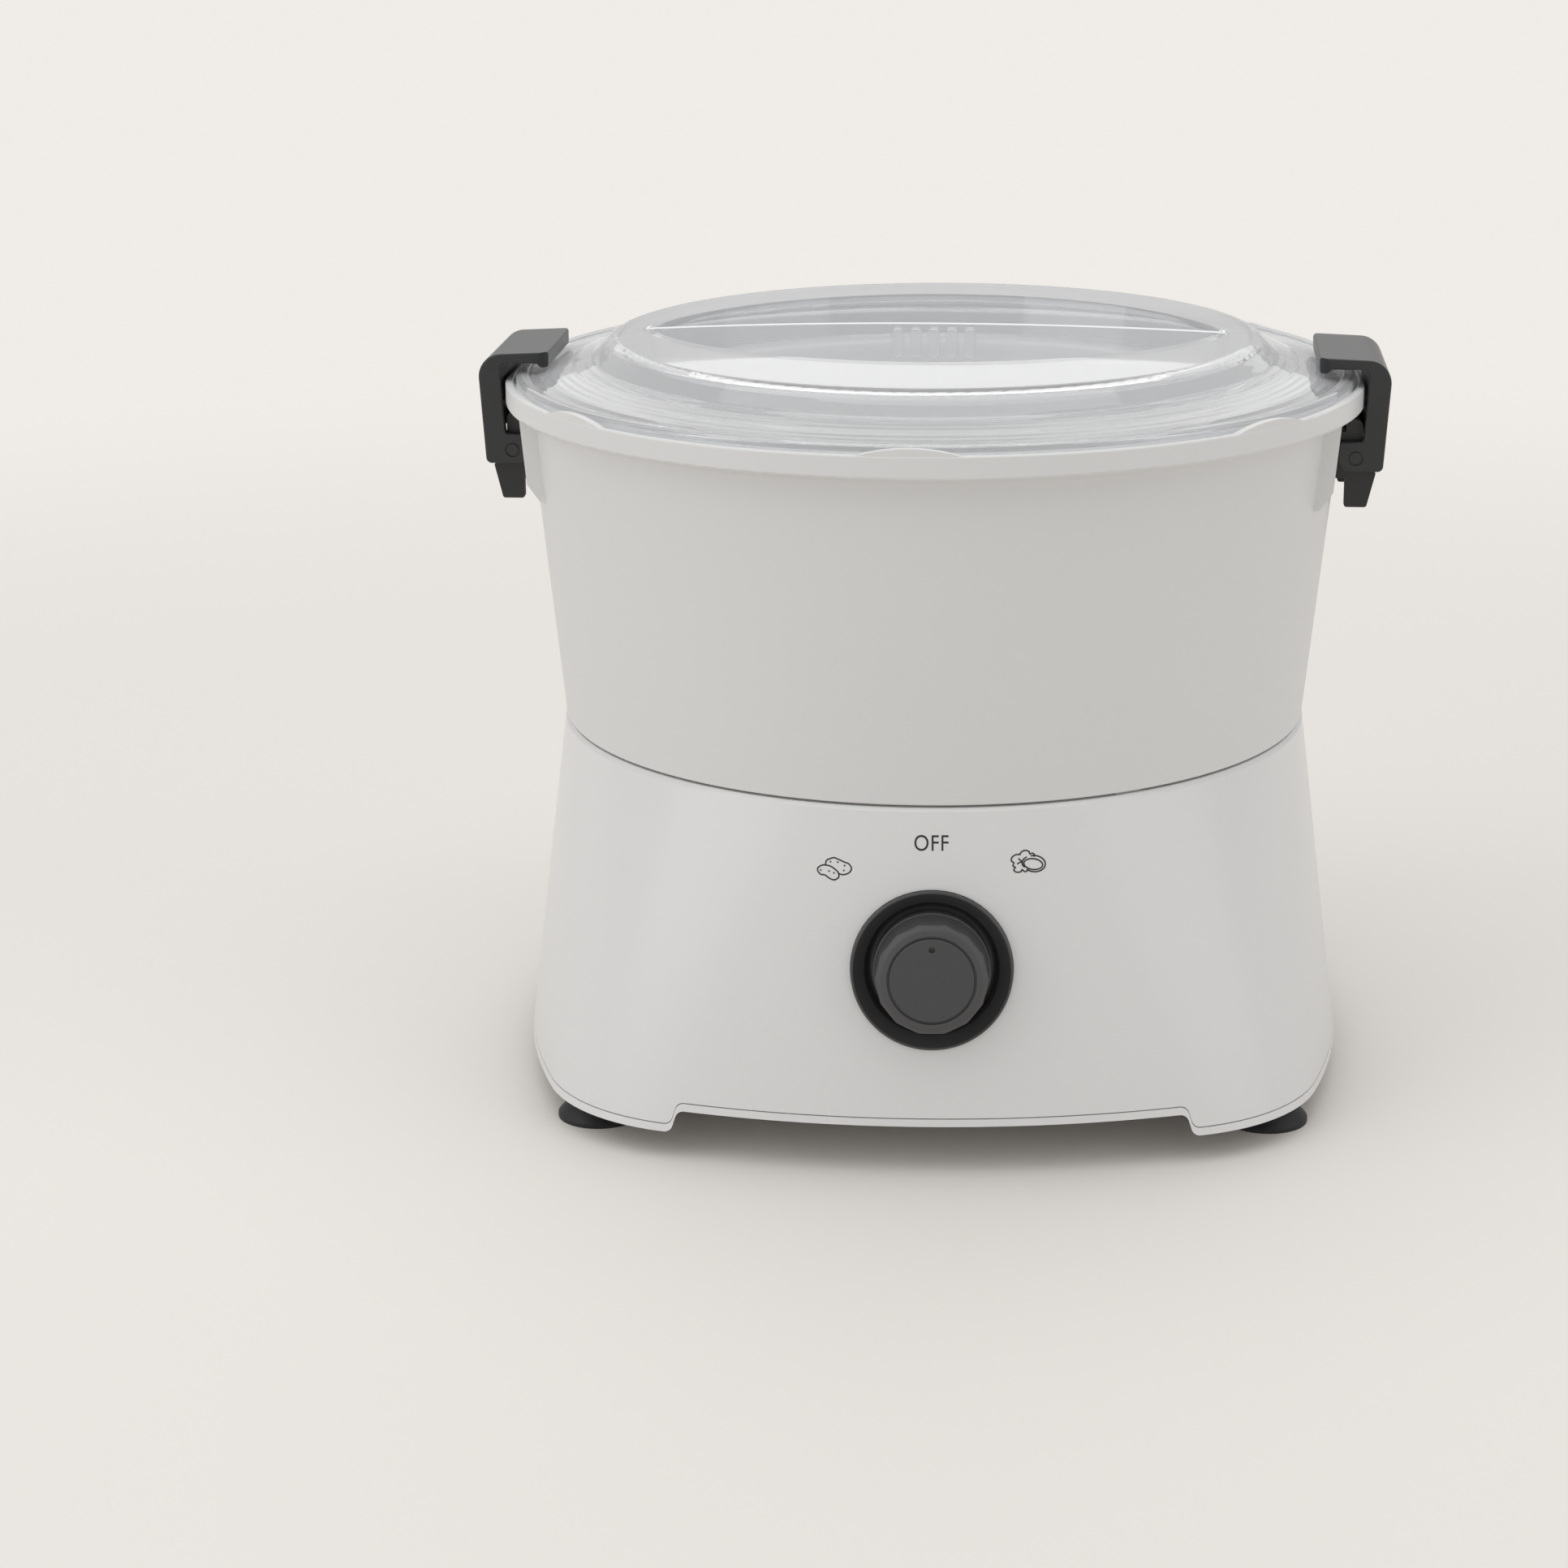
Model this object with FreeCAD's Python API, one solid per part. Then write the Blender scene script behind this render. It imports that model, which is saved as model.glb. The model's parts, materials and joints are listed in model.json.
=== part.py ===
# Electric potato peeler: a round bowl with a clear latched lid on a motor base.
# Millimetres. Z is up, the front with the knob faces -Y, X is to the right.
# The origin is on the standing surface, on the axis of the drive.
import FreeCAD
import Part

import math
import os

V = FreeCAD.Vector

# Fits
SEAT = 0.3            # gap between pieces of different bodies that seat on each other
RUNNING = 0.05        # radial clearance of a turning shaft in its hole
PRESSED = 0.02        # radial clearance of a piece fixed on a shaft or in a seat
LOCATING = 0.15       # clearance of a cover or bezel in its opening

# Base housing
BASE_TOP_R = 105.4
BASE_TOP_Z = 99.0
BASE_HALF_X = 116.8
BASE_HALF_Y = 116.0
BASE_CORNER_R = 50.0
BASE_CORNER_INSET = 59.0
BASE_BOTTOM_Z = 8.0
BASE_WALL = 2.6
DECK_THICK = 3.0
TOP_EDGE_CHAMFER = 0.8
SPIGOT_RISE = 3.7     # the deck's raised disc that the bowl drops over
SPIGOT_CHAMFER = 1.2
COLLAR_R = 11.4
COLLAR_RISE = 4.6

# Bottom cover
COVER_BAND = 2.0
COVER_SEAM = 0.3
COVER_PLATE_Z = 14.6
COVER_PLATE = 2.4
NOTCH_HALF = 68.0
NOTCH_RISE = 6.0
NOTCH_SLOPE = 2.0
NOTCH_ROUND = 2.6
NOTCH_DEPTH = 60.0
POST_X = 58.0
POST_Y = 74.0
POST_R = 4.6
SCREW_R = 1.5
SCREW_HEAD_R = 3.0
SCREW_HEAD = 2.0
VENT_LENGTH = 34.0
VENT_WIDTH = 3.0
VENT_PITCH = 8.0
VENT_ROUND = 1.4
VENT_COUNT = 6

# Suction feet
FOOT_SIDE_INSET = 24.8
FOOT_FRONT_INSET = 43.5
FOOT_R = 11.5
FOOT_RIM = 2.0
FOOT_LIP = 1.1
FOOT_SHOULDER_Z = 5.6
FOOT_NECK_R = 5.4
FOOT_HOLLOW = 3.2
FOOT_STEM_R = 2.9
FOOT_HEAD_R = 4.2
FOOT_HEAD = 1.6

# Knob and its bezel, along the front panel's own axis
KNOB_Z = 56.2
BEZEL_R = 21.4
BEZEL_PROUD = 1.3
BEZEL_EDGE = 0.7
BEZEL_SLOPE_R = 17.8
BEZEL_SLOPE_DEPTH = 1.6
BEZEL_DISH_R = 16.8
BEZEL_DEPTH = 5.2
BEZEL_FLOOR = 1.6
KNOB_R = 15.5
KNOB_FACE_R = 14.75
KNOB_FACES = 14
KNOB_LEAN = 2.0       # degrees that each flat of the grip leans in
KNOB_LENGTH = 10.3
KNOB_CROWN = 2.3      # height of the rounded crown between the flats and the cap
KNOB_SKIRT = 3.8
KNOB_SKIRT_TOP = 1.0
KNOB_HOLLOW_R = 11.0
KNOB_BOSS_R = 5.2
KNOB_FACE_THICK = 3.4
CAP_R = 11.1
CAP_GROOVE = 0.55
CAP_GROOVE_DEPTH = 0.8
CAP_SEAT = 1.8
CAP_EDGE = 0.4
MARK_R = 0.8
MARK_PLACE = 8.2
MARK_DEPTH = 0.8
SPINDLE_R = 3.0
SPINDLE_TO = 7.6
SPINDLE_BACK = 3.0
SWITCH_NECK_R = 4.5
SWITCH_NECK = 0.8
SWITCH_WIDTH = 26.0
SWITCH_DEPTH = 18.0
SWITCH_EDGE = 2.0
SWITCH_TAB = 6.0
SWITCH_TAB_WIDTH = 4.8
SWITCH_TAB_THICK = 0.8
SWITCH_TAB_PITCH = 8.0
NUT_R = 7.0
NUT_THICK = 2.2

# Bowl
BOWL_INSET = 0.2      # the bowl's foot stands back from the base's top edge
BOWL_TOP_R = 114.0
BOWL_WALL = 2.5
SEAM_GAP = 0.7
BOWL_FLOOR = 2.6
BOWL_INNER_ROUND = 9.0
FLANGE_OUT = 6.0
FLANGE_TOP_Z = 194.0
FLANGE_HEIGHT = 5.8
FLANGE_ROUND = 4.0
FLANGE_EDGE = 1.0
LIP_WIDTH = 2.2
LIP_RISE = 1.0
BUMP_LENGTH = 26.0
BUMP_RISE = 1.9
BUMP_ANGLES = (0, 50, -50, 130, -130, 180)
CHIMNEY_R = 12.4
CHIMNEY_WALL = 2.2
CHIMNEY_TOP_Z = 126.0
KEY_COUNT = 3         # keys of the base that stop the bowl from turning with the disc
KEY_HALF = 4.0
KEY_PROUD = 1.0

# Latches: the pad on the bowl's wall
LATCH_TURN = -3.0     # the bowl and all it carries stands turned by this on the base
PAD_HALF = 39.0
PAD_INSET = 2.4
PAD_DRAFT = 5.3
PAD_DROP = 18.4       # from the flange's underside to where the pad starts to taper
PAD_TAPER = 5.0
PAD_TAPER_IN = 3.6
PAD_CUT_DROP = 18.9
FLANGE_CUT = 1.4
BOSS_DEPTH = 7.0
BOSS_HALF = 19.0
BOSS_DROP = 24.2
BOSS_SLOPE = 12.0

# Latches: heights are below the flange's top, depths are out from the pad
LATCH_HALF = 21.0
PIVOT_DROP = 18.2
PIVOT_OUT = 5.1
PIN_R = 1.6
PIN_RING = 0.5
PIN_RING_DEPTH = 0.5
CHEEK_THICK = 2.7
CHEEK_ABOVE = 4.4
CHEEK_BELOW = 3.9
CHEEK_BACK = 5.1
CHEEK_ROUND = 3.4
BRACKET_HALF = 18.0
BRACKET_PLATE = 2.5
BRACKET_ABOVE = 6.7
BRACKET_BELOW = 6.2
BRACKET_FRONT = 3.2
KNUCKLE_ABOVE = 10.2
KNUCKLE_FRONT = 1.9
KNUCKLE_ROUND = 2.0
TAIL_TOP = 4.4
TAIL_BELOW = 14.3
TAIL_TOP_FRONT = 5.9
TAIL_LOW_FRONT = 3.5
TAIL_WALL = 2.2
SPRING_GAP = 4.5
SCREW_APART = 12.0
SCREW_ABOVE = 3.8
BRACKET_SCREW_LENGTH = 5.0
BRACKET_SCREW_HEAD_R = 2.2
BRACKET_SCREW_HEAD = 1.5

# Latches: the hook, out from the flange's edge and above its top
HOOK_OUT = 5.7
HOOK_LEAN = 3.45
HOOK_RISE = 9.3
HOOK_REACH = 19.6
HOOK_ARM = 5.9
HOOK_SHOULDER = 6.5
HOOK_CLAW = 3.2
HOOK_FALL = 0.9       # the claw's top falls by this from its tip to the shoulder
HOOK_LIP = 1.1
HOOK_LIP_WIDTH = 2.2
HOOK_WINDOW_DROP = 11.4
HOOK_EDGE = 0.5
HOOK_TIP_ROUND = 3.0

# Lid, in from the flange's edge and above its top
LID_IN = 3.0
LID_EDGE_RISE = 3.2
LID_EDGE = 1.6
BEAD_WIDTH = 3.6
BRIM_GROOVE = 0.7
BRIM_WIDTH = 12.4
BRIM_RISE = 5.8
STEP_IN = 24.2
STEP_RISE = 7.2
SHOULDER_IN = 30.0
SHOULDER_RISE = 12.4
SHOULDER_ROUND = 4.6
CROWN_RISE = 14.9
LID_THICK = 2.2
LENS_IN = 39.0
LENS_HALF_WIDTH = 58.2
LENS_FLOOR_RISE = 2.8
LENS_DRAFT = 3.0
FIN_THICK = 2.8
RIB_COUNT = 5
RIB_PITCH = 5.0
RIB_WIDTH = 3.0
RIB_PROUD = 0.9
RIB_TOP = 13.4
RIB_LOW = 5.4
RIB_ROUND = 1.2
SKIRT_CLEAR = 1.7
SKIRT_THICK = 1.8
SKIRT_DROP = 6.6

# Drive
GEAR_MODULE = 1.5
GEAR_TEETH = 60
PINION_TEETH = 18
PRESSURE_ANGLE = 20.0
BACKLASH = 0.2
GEAR_Z = 25.0
GEAR_FACE = 8.0
GEAR_WEB = 3.0
GEAR_RIM = 4.0
GEAR_HUB_R = 9.0
GEAR_HUB = 12.0
GEAR_HOLES = 6
GEAR_HOLE_R = 6.5
PINION_EXTRA = 1.5
SHAFT_R = 4.0
SHAFT_LOW_Z = 18.0
CLIP_R = 6.6
CLIP_THICK = 1.0
BUSH_R = 7.0
BUSH_FLANGE_R = 9.0
BUSH_FLANGE = 1.5
BUSH_LENGTH = 5.0
BUSH_BOSS_WALL = 3.0
BEARING_R = 11.0
BEARING_WIDTH = 7.0
BEARING_RACE = 2.0
BEARING_BOSS_WALL = 2.8
SEAL_THICK = 3.2
HEX_FLATS = 16.0
HEX_LOW_Z = 127.5
HEX_HEIGHT = 11.0

# Motor
MOTOR_R = 27.0
MOTOR_LOW_Z = 42.0
MOTOR_LENGTH = 49.0
MOTOR_CAP = 6.0
MOTOR_CAP_STEP = 2.0
MOTOR_NOSE_R = 7.0
MOTOR_NOSE = 2.4
MOTOR_SHAFT_R = 2.5
MOTOR_SHAFT_LOW_Z = 23.0
MOTOR_SCREW_PLACE = 16.0
MOUNT_PLATE = 2.0
MOUNT_COUNT = 3
MOUNT_PLACE = 36.0
MOUNT_EAR_R = 7.0
MOUNT_BOSS_R = 4.2

# Speed board and cord gland
BOARD_X = 62.0
BOARD_Y = 5.0
BOARD_LENGTH = 44.0
BOARD_WIDTH = 26.0
BOARD_THICK = 1.6
BOARD_RISE = 8.0
BOARD_HOLE_INSET = 4.0
GLAND_Z = 34.0
GLAND_R = 8.0
GLAND_PROUD = 5.0
GLAND_BORE_R = 3.6
GLAND_NECK_R = 6.0
GLAND_BACK = 3.0
GLAND_SEAT = 0.25
GLAND_FLANGE = 1.6

# Peeling disc
DISC_CLEAR = 5.7      # from the disc's rim to the bowl's foot
DISC_Z = 111.0
DISC_THICK = 3.0
DISC_EDGE = 1.2
WAVE_COUNT = 3
WAVE_R = 16.0
WAVE_RISE = 5.0
WAVE_FROM = 30.0
WAVE_TO = 92.0
BLADE_COUNT = 6
BLADE_PLACE = 64.0
BLADE_LENGTH = 22.0
BLADE_HALF = 7.0
BLADE_RISE = 3.0
BLADE_THICK = 0.8
BLADE_SLOT = 1.0
HUB_R = 20.0
HUB_WALL_GAP = 0.9
HUB_TOP_Z = 142.0
HUB_ROUND = 5.0
HEX_FREE = 0.35
HUB_FLANGE_R = 25.0
HUB_FLANGE = 1.6

# Worked out from the sizes above
FOOT_X = BASE_HALF_X - FOOT_SIDE_INSET
FOOT_Y = BASE_HALF_Y - FOOT_FRONT_INSET
SPIGOT_Z = BASE_TOP_Z + SPIGOT_RISE
BOWL_FOOT_R = BASE_TOP_R - BOWL_INSET
FLANGE_R = BOWL_TOP_R + FLANGE_OUT
SPIGOT_R = BOWL_FOOT_R - BOWL_WALL - SEAT
DECK_UNDER_Z = BASE_TOP_Z - DECK_THICK
BOWL_LOW_Z = BASE_TOP_Z + SEAM_GAP
FLOOR_LOW_Z = SPIGOT_Z + SEAT
FLOOR_TOP_Z = FLOOR_LOW_Z + BOWL_FLOOR
FLANGE_LOW_Z = FLANGE_TOP_Z - FLANGE_HEIGHT
COVER_TOP_Z = COVER_PLATE_Z + COVER_PLATE
PANEL_LEAN = math.degrees(math.atan2(BASE_HALF_Y - BASE_TOP_R, BASE_TOP_Z - BASE_BOTTOM_Z))
CENTRE_DISTANCE = GEAR_MODULE * (GEAR_TEETH + PINION_TEETH) / 2
DISC_R = BOWL_FOOT_R - BOWL_WALL - DISC_CLEAR
PAD_TOP_U = BOWL_TOP_R - PAD_INSET
PIVOT_U = PAD_TOP_U + PIVOT_OUT
PIVOT_Z = FLANGE_TOP_Z - PIVOT_DROP
PLATE_U = PAD_TOP_U + BRACKET_PLATE
LID_LOW_Z = FLANGE_TOP_Z + SEAT
LID_R = FLANGE_R - LID_IN
SHOULDER_R = FLANGE_R - SHOULDER_IN
SHOULDER_Z = FLANGE_TOP_Z + SHOULDER_RISE
CROWN_Z = FLANGE_TOP_Z + CROWN_RISE
LENS_HALF_LENGTH = FLANGE_R - LENS_IN
LENS_FLOOR_Z = FLANGE_TOP_Z + LENS_FLOOR_RISE
FAR = 400.0


def cylinder(radius, low, high, x=0.0, y=0.0):
    return Part.makeCylinder(radius, high - low, V(x, y, low))


def tube(outer, inner, low, high, x=0.0, y=0.0):
    return cylinder(outer, low, high, x, y).cut(cylinder(inner, low - 1, high + 1, x, y))


def box(x0, x1, y0, y1, z0, z1):
    return Part.makeBox(x1 - x0, y1 - y0, z1 - z0, V(x0, y0, z0))


def fused(shapes):
    whole = shapes[0]
    for shape in shapes[1:]:
        whole = whole.fuse(shape)
    return whole.removeSplitter()


def turned(shape, degrees, axis=V(0, 0, 1), centre=V(0, 0, 0)):
    copy = shape.copy()
    copy.rotate(centre, axis, degrees)
    return copy


def moved(shape, x, y, z):
    copy = shape.copy()
    copy.translate(V(x, y, z))
    return copy


def save(name, shape):
    shape.exportStep("parts/" + name + ".step")


# A corner is (a, b) or (a, b, radius); place turns (a, b) into a point in space.
def rounded_wire(corners, place):
    points = [FreeCAD.Vector(c[0], c[1], 0) for c in corners]
    radii = [c[2] if len(c) > 2 else 0.0 for c in corners]
    spans = []
    for i, corner in enumerate(points):
        if radii[i] == 0:
            spans.append((corner, None, corner))
            continue
        back = (points[i - 1] - corner).normalize()
        ahead = (points[(i + 1) % len(points)] - corner).normalize()
        half = back.getAngle(ahead) / 2
        reach = radii[i] / math.tan(half)
        middle = (back + ahead).normalize() * (radii[i] / math.sin(half) - radii[i])
        spans.append((corner + back * reach, corner + middle, corner + ahead * reach))
    edges = []
    for i, (start, middle, end) in enumerate(spans):
        if middle is not None:
            edges.append(Part.Arc(place(start), place(middle), place(end)).toShape())
        following = spans[(i + 1) % len(spans)][0]
        if (following - end).Length > 1e-6:
            edges.append(Part.LineSegment(place(end), place(following)).toShape())
    return Part.Wire(edges)


def upright(point):
    return V(point.x, 0, point.y)


def flat(point):
    return V(point.x, point.y, 0)


# A solid of revolution about Z from corners (radius, height).
def revolved(corners):
    face = Part.Face(rounded_wire(corners, upright))
    return face.revolve(V(0, 0, 0), V(0, 0, 1), 360)


# A prism along Y from corners (x, z).
def side_prism(corners, y0, y1):
    face = Part.Face(rounded_wire(corners, upright))
    return moved(face, 0, y0, 0).extrude(V(0, y1 - y0, 0))


# A prism along Z from corners (x, y).
def plan_prism(corners, z0, z1):
    face = Part.Face(rounded_wire(corners, flat))
    return moved(face, 0, 0, z0).extrude(V(0, 0, z1 - z0))


def hexagon(across_flats, z0, z1):
    reach = across_flats / 2 / math.cos(math.pi / 6)
    corners = [(reach * math.cos(math.pi / 3 * k), reach * math.sin(math.pi / 3 * k)) for k in range(6)]
    return plan_prism(corners, z0, z1)


# A screw standing on its head: the shank goes up along Z from the underside of the head.
def screw(x, y, seat_z, length, shank_r=SCREW_R, head_r=SCREW_HEAD_R):
    head = cylinder(head_r, seat_z - SCREW_HEAD, seat_z, x, y)
    slot = cylinder(head_r * 0.45, seat_z - SCREW_HEAD - 1, seat_z - SCREW_HEAD / 2, x, y)
    return head.cut(slot).fuse(cylinder(shank_r, seat_z, seat_z + length, x, y)).removeSplitter()


def four_corners(x, y):
    return [(sx * x, sy * y) for sx in (-1, 1) for sy in (-1, 1)]


# Base

# The plan is four shallow side arcs joined by four corner arcs, all tangent.
# It returns, for one quarter, the arc centres, radii and the directions where they meet.
def plan_arcs(inset):
    cx = BASE_HALF_X - BASE_CORNER_INSET
    cy = BASE_HALF_Y - BASE_CORNER_INSET
    reach = BASE_CORNER_INSET - BASE_CORNER_R
    side_r = (cy ** 2 + BASE_CORNER_INSET ** 2 - BASE_CORNER_R ** 2) / (2 * reach)
    front_r = (cx ** 2 + BASE_CORNER_INSET ** 2 - BASE_CORNER_R ** 2) / (2 * reach)
    side_dir = math.atan2(cy, cx - (BASE_HALF_X - side_r))
    front_dir = math.atan2(cy - (BASE_HALF_Y - front_r), cx)
    quarter = [
        (BASE_HALF_X - side_r, 0.0, side_r - inset, -side_dir, side_dir),
        (cx, cy, BASE_CORNER_R - inset, side_dir, front_dir),
        (0.0, BASE_HALF_Y - front_r, front_r - inset, front_dir, math.pi - front_dir),
        (-cx, cy, BASE_CORNER_R - inset, math.pi - front_dir, math.pi - side_dir),
    ]
    half = [(-x, -y, r, a + math.pi, b + math.pi) for x, y, r, a, b in quarter]
    return quarter + half


def arc_edge(x, y, radius, start, end, z):
    angles = (start, (start + end) / 2, end)
    points = [V(x + radius * math.cos(t), y + radius * math.sin(t), z) for t in angles]
    return Part.Arc(*points).toShape()


# The form of the base between two insets from its outside, from bottom to top.
def base_form(inset):
    arcs = plan_arcs(inset)
    low = Part.Wire([arc_edge(x, y, r, a, b, BASE_BOTTOM_Z) for x, y, r, a, b in arcs])
    top_r = BASE_TOP_R - inset
    high = Part.Wire([arc_edge(0, 0, top_r, a, b, BASE_TOP_Z) for x, y, r, a, b in arcs])
    return Part.makeLoft([low, high], True, True)


# Everything below a height, with the arched notch of the front raised by the notch's rise.
def below(z):
    slab = box(-FAR, FAR, -FAR, FAR, z - FAR, z)
    top = z + NOTCH_RISE
    outer = NOTCH_HALF + NOTCH_SLOPE
    arch = side_prism([
        (-outer - NOTCH_RISE, z - 5), (-outer - NOTCH_RISE, z), (-outer, z, NOTCH_ROUND),
        (-NOTCH_HALF, top, NOTCH_ROUND), (NOTCH_HALF, top, NOTCH_ROUND),
        (outer, z, NOTCH_ROUND), (outer + NOTCH_RISE, z), (outer + NOTCH_RISE, z - 5),
    ], -FAR, -BASE_HALF_Y + NOTCH_DEPTH)
    return slab.fuse(arch)


def panel_y(z):
    share = (BASE_TOP_Z - z) / (BASE_TOP_Z - BASE_BOTTOM_Z)
    return -(BASE_TOP_R + (BASE_HALF_Y - BASE_TOP_R) * share)


# Stands a piece that was made along +Z on the front panel, with its +Y pointing up the panel.
def on_panel(shape):
    up = turned(shape, 90 - PANEL_LEAN, V(1, 0, 0))
    return moved(up, 0, panel_y(KNOB_Z), KNOB_Z)


# The same on the back panel, at the height of the cord gland.
def on_back(shape):
    back = turned(shape, PANEL_LEAN - 90, V(1, 0, 0))
    return moved(back, 0, -panel_y(GLAND_Z), GLAND_Z)


def foot_places():
    return four_corners(FOOT_X, FOOT_Y)


def mount_places():
    turns = [2 * math.pi * k / MOUNT_COUNT for k in range(MOUNT_COUNT)]
    return [(MOUNT_PLACE * math.sin(t), CENTRE_DISTANCE + MOUNT_PLACE * math.cos(t)) for t in turns]


def board_places():
    dx = BOARD_WIDTH / 2 - BOARD_HOLE_INSET
    dy = BOARD_LENGTH / 2 - BOARD_HOLE_INSET
    return [(BOARD_X - dx, BOARD_Y - dy), (BOARD_X + dx, BOARD_Y + dy)]


# Blocks on the spigot that fit into notches of the bowl's foot.
def key_blocks(grow, low, high):
    ring = tube(SPIGOT_R + KEY_PROUD + grow, SPIGOT_R - 1, low, high)
    half = KEY_HALF + grow
    blocks = []
    for k in range(KEY_COUNT):
        sector = box(0, FAR, -half, half, low, high)
        blocks.append(ring.common(turned(sector, 360 * (k + 0.5) / KEY_COUNT)))
    return blocks


def base_housing():
    outside = base_form(0)
    edge_r = BASE_TOP_R - TOP_EDGE_CHAMFER
    edge = revolved([(0, BASE_TOP_Z - FAR), (edge_r + FAR, BASE_TOP_Z - FAR), (edge_r, BASE_TOP_Z),
                     (0, BASE_TOP_Z)])
    outside = outside.common(edge)
    hollow = base_form(BASE_WALL).common(box(-FAR, FAR, -FAR, FAR, 0, DECK_UNDER_Z))
    shell = outside.cut(hollow)
    spigot = revolved([(0, DECK_UNDER_Z + 1), (SPIGOT_R, DECK_UNDER_Z + 1),
                       (SPIGOT_R, SPIGOT_Z - SPIGOT_CHAMFER), (SPIGOT_R - SPIGOT_CHAMFER, SPIGOT_Z),
                       (0, SPIGOT_Z)])
    under = cylinder(SPIGOT_R - DECK_THICK, DECK_UNDER_Z - 1, SPIGOT_Z - DECK_THICK)
    collar = cylinder(COLLAR_R, DECK_UNDER_Z, SPIGOT_Z + COLLAR_RISE)
    boss_r = BEARING_R + BEARING_BOSS_WALL
    boss_low = SPIGOT_Z - DECK_THICK - BEARING_WIDTH - 1
    boss = cylinder(boss_r, boss_low, SPIGOT_Z - 1)
    shell = shell.fuse(spigot).cut(under).fuse(collar).fuse(boss)
    for key in key_blocks(0, BASE_TOP_Z - 1, SPIGOT_Z - SPIGOT_CHAMFER):
        shell = shell.fuse(key)
    for x, y in four_corners(POST_X, POST_Y):
        shell = shell.fuse(cylinder(POST_R, COVER_TOP_Z, SPIGOT_Z - DECK_THICK + 1, x, y))
    shell = shell.cut(below(BASE_BOTTOM_Z + COVER_BAND + COVER_SEAM))
    for x, y in four_corners(POST_X, POST_Y):
        shell = shell.cut(cylinder(SCREW_R + PRESSED, COVER_TOP_Z - 1, COVER_TOP_Z + 14, x, y))
    shell = shell.cut(cylinder(BEARING_R + PRESSED, boss_low - 1, boss_low + BEARING_WIDTH))
    shell = shell.cut(cylinder(SHAFT_R + 1.5, boss_low, SPIGOT_Z + COLLAR_RISE + 1))
    seal_low = SPIGOT_Z + COLLAR_RISE - SEAL_THICK
    shell = shell.cut(cylinder(COLLAR_R - 2, seal_low, SPIGOT_Z + COLLAR_RISE + 1))
    panel_hole = on_panel(cylinder(BEZEL_R + LOCATING, -BEZEL_DEPTH - BEZEL_FLOOR - 4, 20))
    gland_hole = on_back(cylinder(GLAND_NECK_R + PRESSED, -20, 20))
    shell = shell.cut(panel_hole).cut(gland_hole)
    return shell.removeSplitter()


def bottom_cover():
    wall = base_form(0).cut(base_form(BASE_WALL))
    band = wall.common(below(BASE_BOTTOM_Z + COVER_BAND))
    rim_top = COVER_PLATE_Z + 1
    rim = base_form(BASE_WALL + LOCATING).cut(base_form(BASE_WALL + LOCATING + 2.0))
    rim = rim.common(box(-FAR, FAR, -FAR, FAR, BASE_BOTTOM_Z, rim_top))
    plate = base_form(BASE_WALL + LOCATING).common(box(-FAR, FAR, -FAR, FAR, COVER_PLATE_Z, COVER_TOP_Z))
    foot_ledge = base_form(0).cut(base_form(BASE_WALL + LOCATING + 1.0))
    foot_ledge = foot_ledge.common(below(BASE_BOTTOM_Z + COVER_BAND))
    cover = fused([plate, rim, foot_ledge, band]).cut(below(BASE_BOTTOM_Z))
    boss_top = SHAFT_LOW_Z + BUSH_LENGTH
    cover = cover.fuse(cylinder(BUSH_R + BUSH_BOSS_WALL, COVER_PLATE_Z, boss_top))
    cover = cover.cut(cylinder(BUSH_R + PRESSED, SHAFT_LOW_Z - 0.5, boss_top + 1))
    for x, y in mount_places():
        boss = cylinder(MOUNT_BOSS_R, COVER_PLATE_Z, MOTOR_LOW_Z - MOUNT_PLATE, x, y)
        hole = cylinder(SCREW_R + PRESSED, MOTOR_LOW_Z - MOUNT_PLATE - 8, MOTOR_LOW_Z, x, y)
        cover = cover.fuse(boss).cut(hole)
    for x, y in board_places():
        boss = cylinder(3.0, COVER_PLATE_Z, COVER_TOP_Z + BOARD_RISE, x, y)
        hole = cylinder(SCREW_R + PRESSED, COVER_TOP_Z + 1, COVER_TOP_Z + BOARD_RISE + 1, x, y)
        cover = cover.fuse(boss).cut(hole)
    for x, y in foot_places():
        cover = cover.cut(cylinder(FOOT_STEM_R + PRESSED, 0, COVER_TOP_Z + 1, x, y))
    for x, y in four_corners(POST_X, POST_Y):
        cover = cover.cut(cylinder(SCREW_R + 0.2, 0, COVER_TOP_Z + 1, x, y))
    half = VENT_WIDTH / 2
    near = CENTRE_DISTANCE - VENT_LENGTH / 2
    far = CENTRE_DISTANCE + VENT_LENGTH / 2
    for k in range(VENT_COUNT):
        x = (k - (VENT_COUNT - 1) / 2) * VENT_PITCH
        slot = plan_prism([
            (x - half, near, VENT_ROUND), (x + half, near, VENT_ROUND), (x + half, far, VENT_ROUND),
            (x - half, far, VENT_ROUND),
        ], COVER_PLATE_Z - 1, COVER_TOP_Z + 0.5)
        cover = cover.cut(slot)
    return cover.removeSplitter()


def suction_foot():
    neck_top = COVER_PLATE_Z
    head_z = COVER_TOP_Z
    return revolved([
        (0, FOOT_HOLLOW), (FOOT_R - FOOT_RIM - 2, FOOT_HOLLOW - 0.8), (FOOT_R - FOOT_RIM, 0), (FOOT_R, 0),
        (FOOT_R, FOOT_LIP), (FOOT_NECK_R + 2.2, FOOT_SHOULDER_Z, 2.0), (FOOT_NECK_R, FOOT_SHOULDER_Z + 1.5),
        (FOOT_NECK_R, neck_top), (FOOT_STEM_R, neck_top), (FOOT_STEM_R, head_z), (FOOT_HEAD_R, head_z),
        (FOOT_HEAD_R - 1, head_z + FOOT_HEAD), (0, head_z + FOOT_HEAD),
    ])


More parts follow.
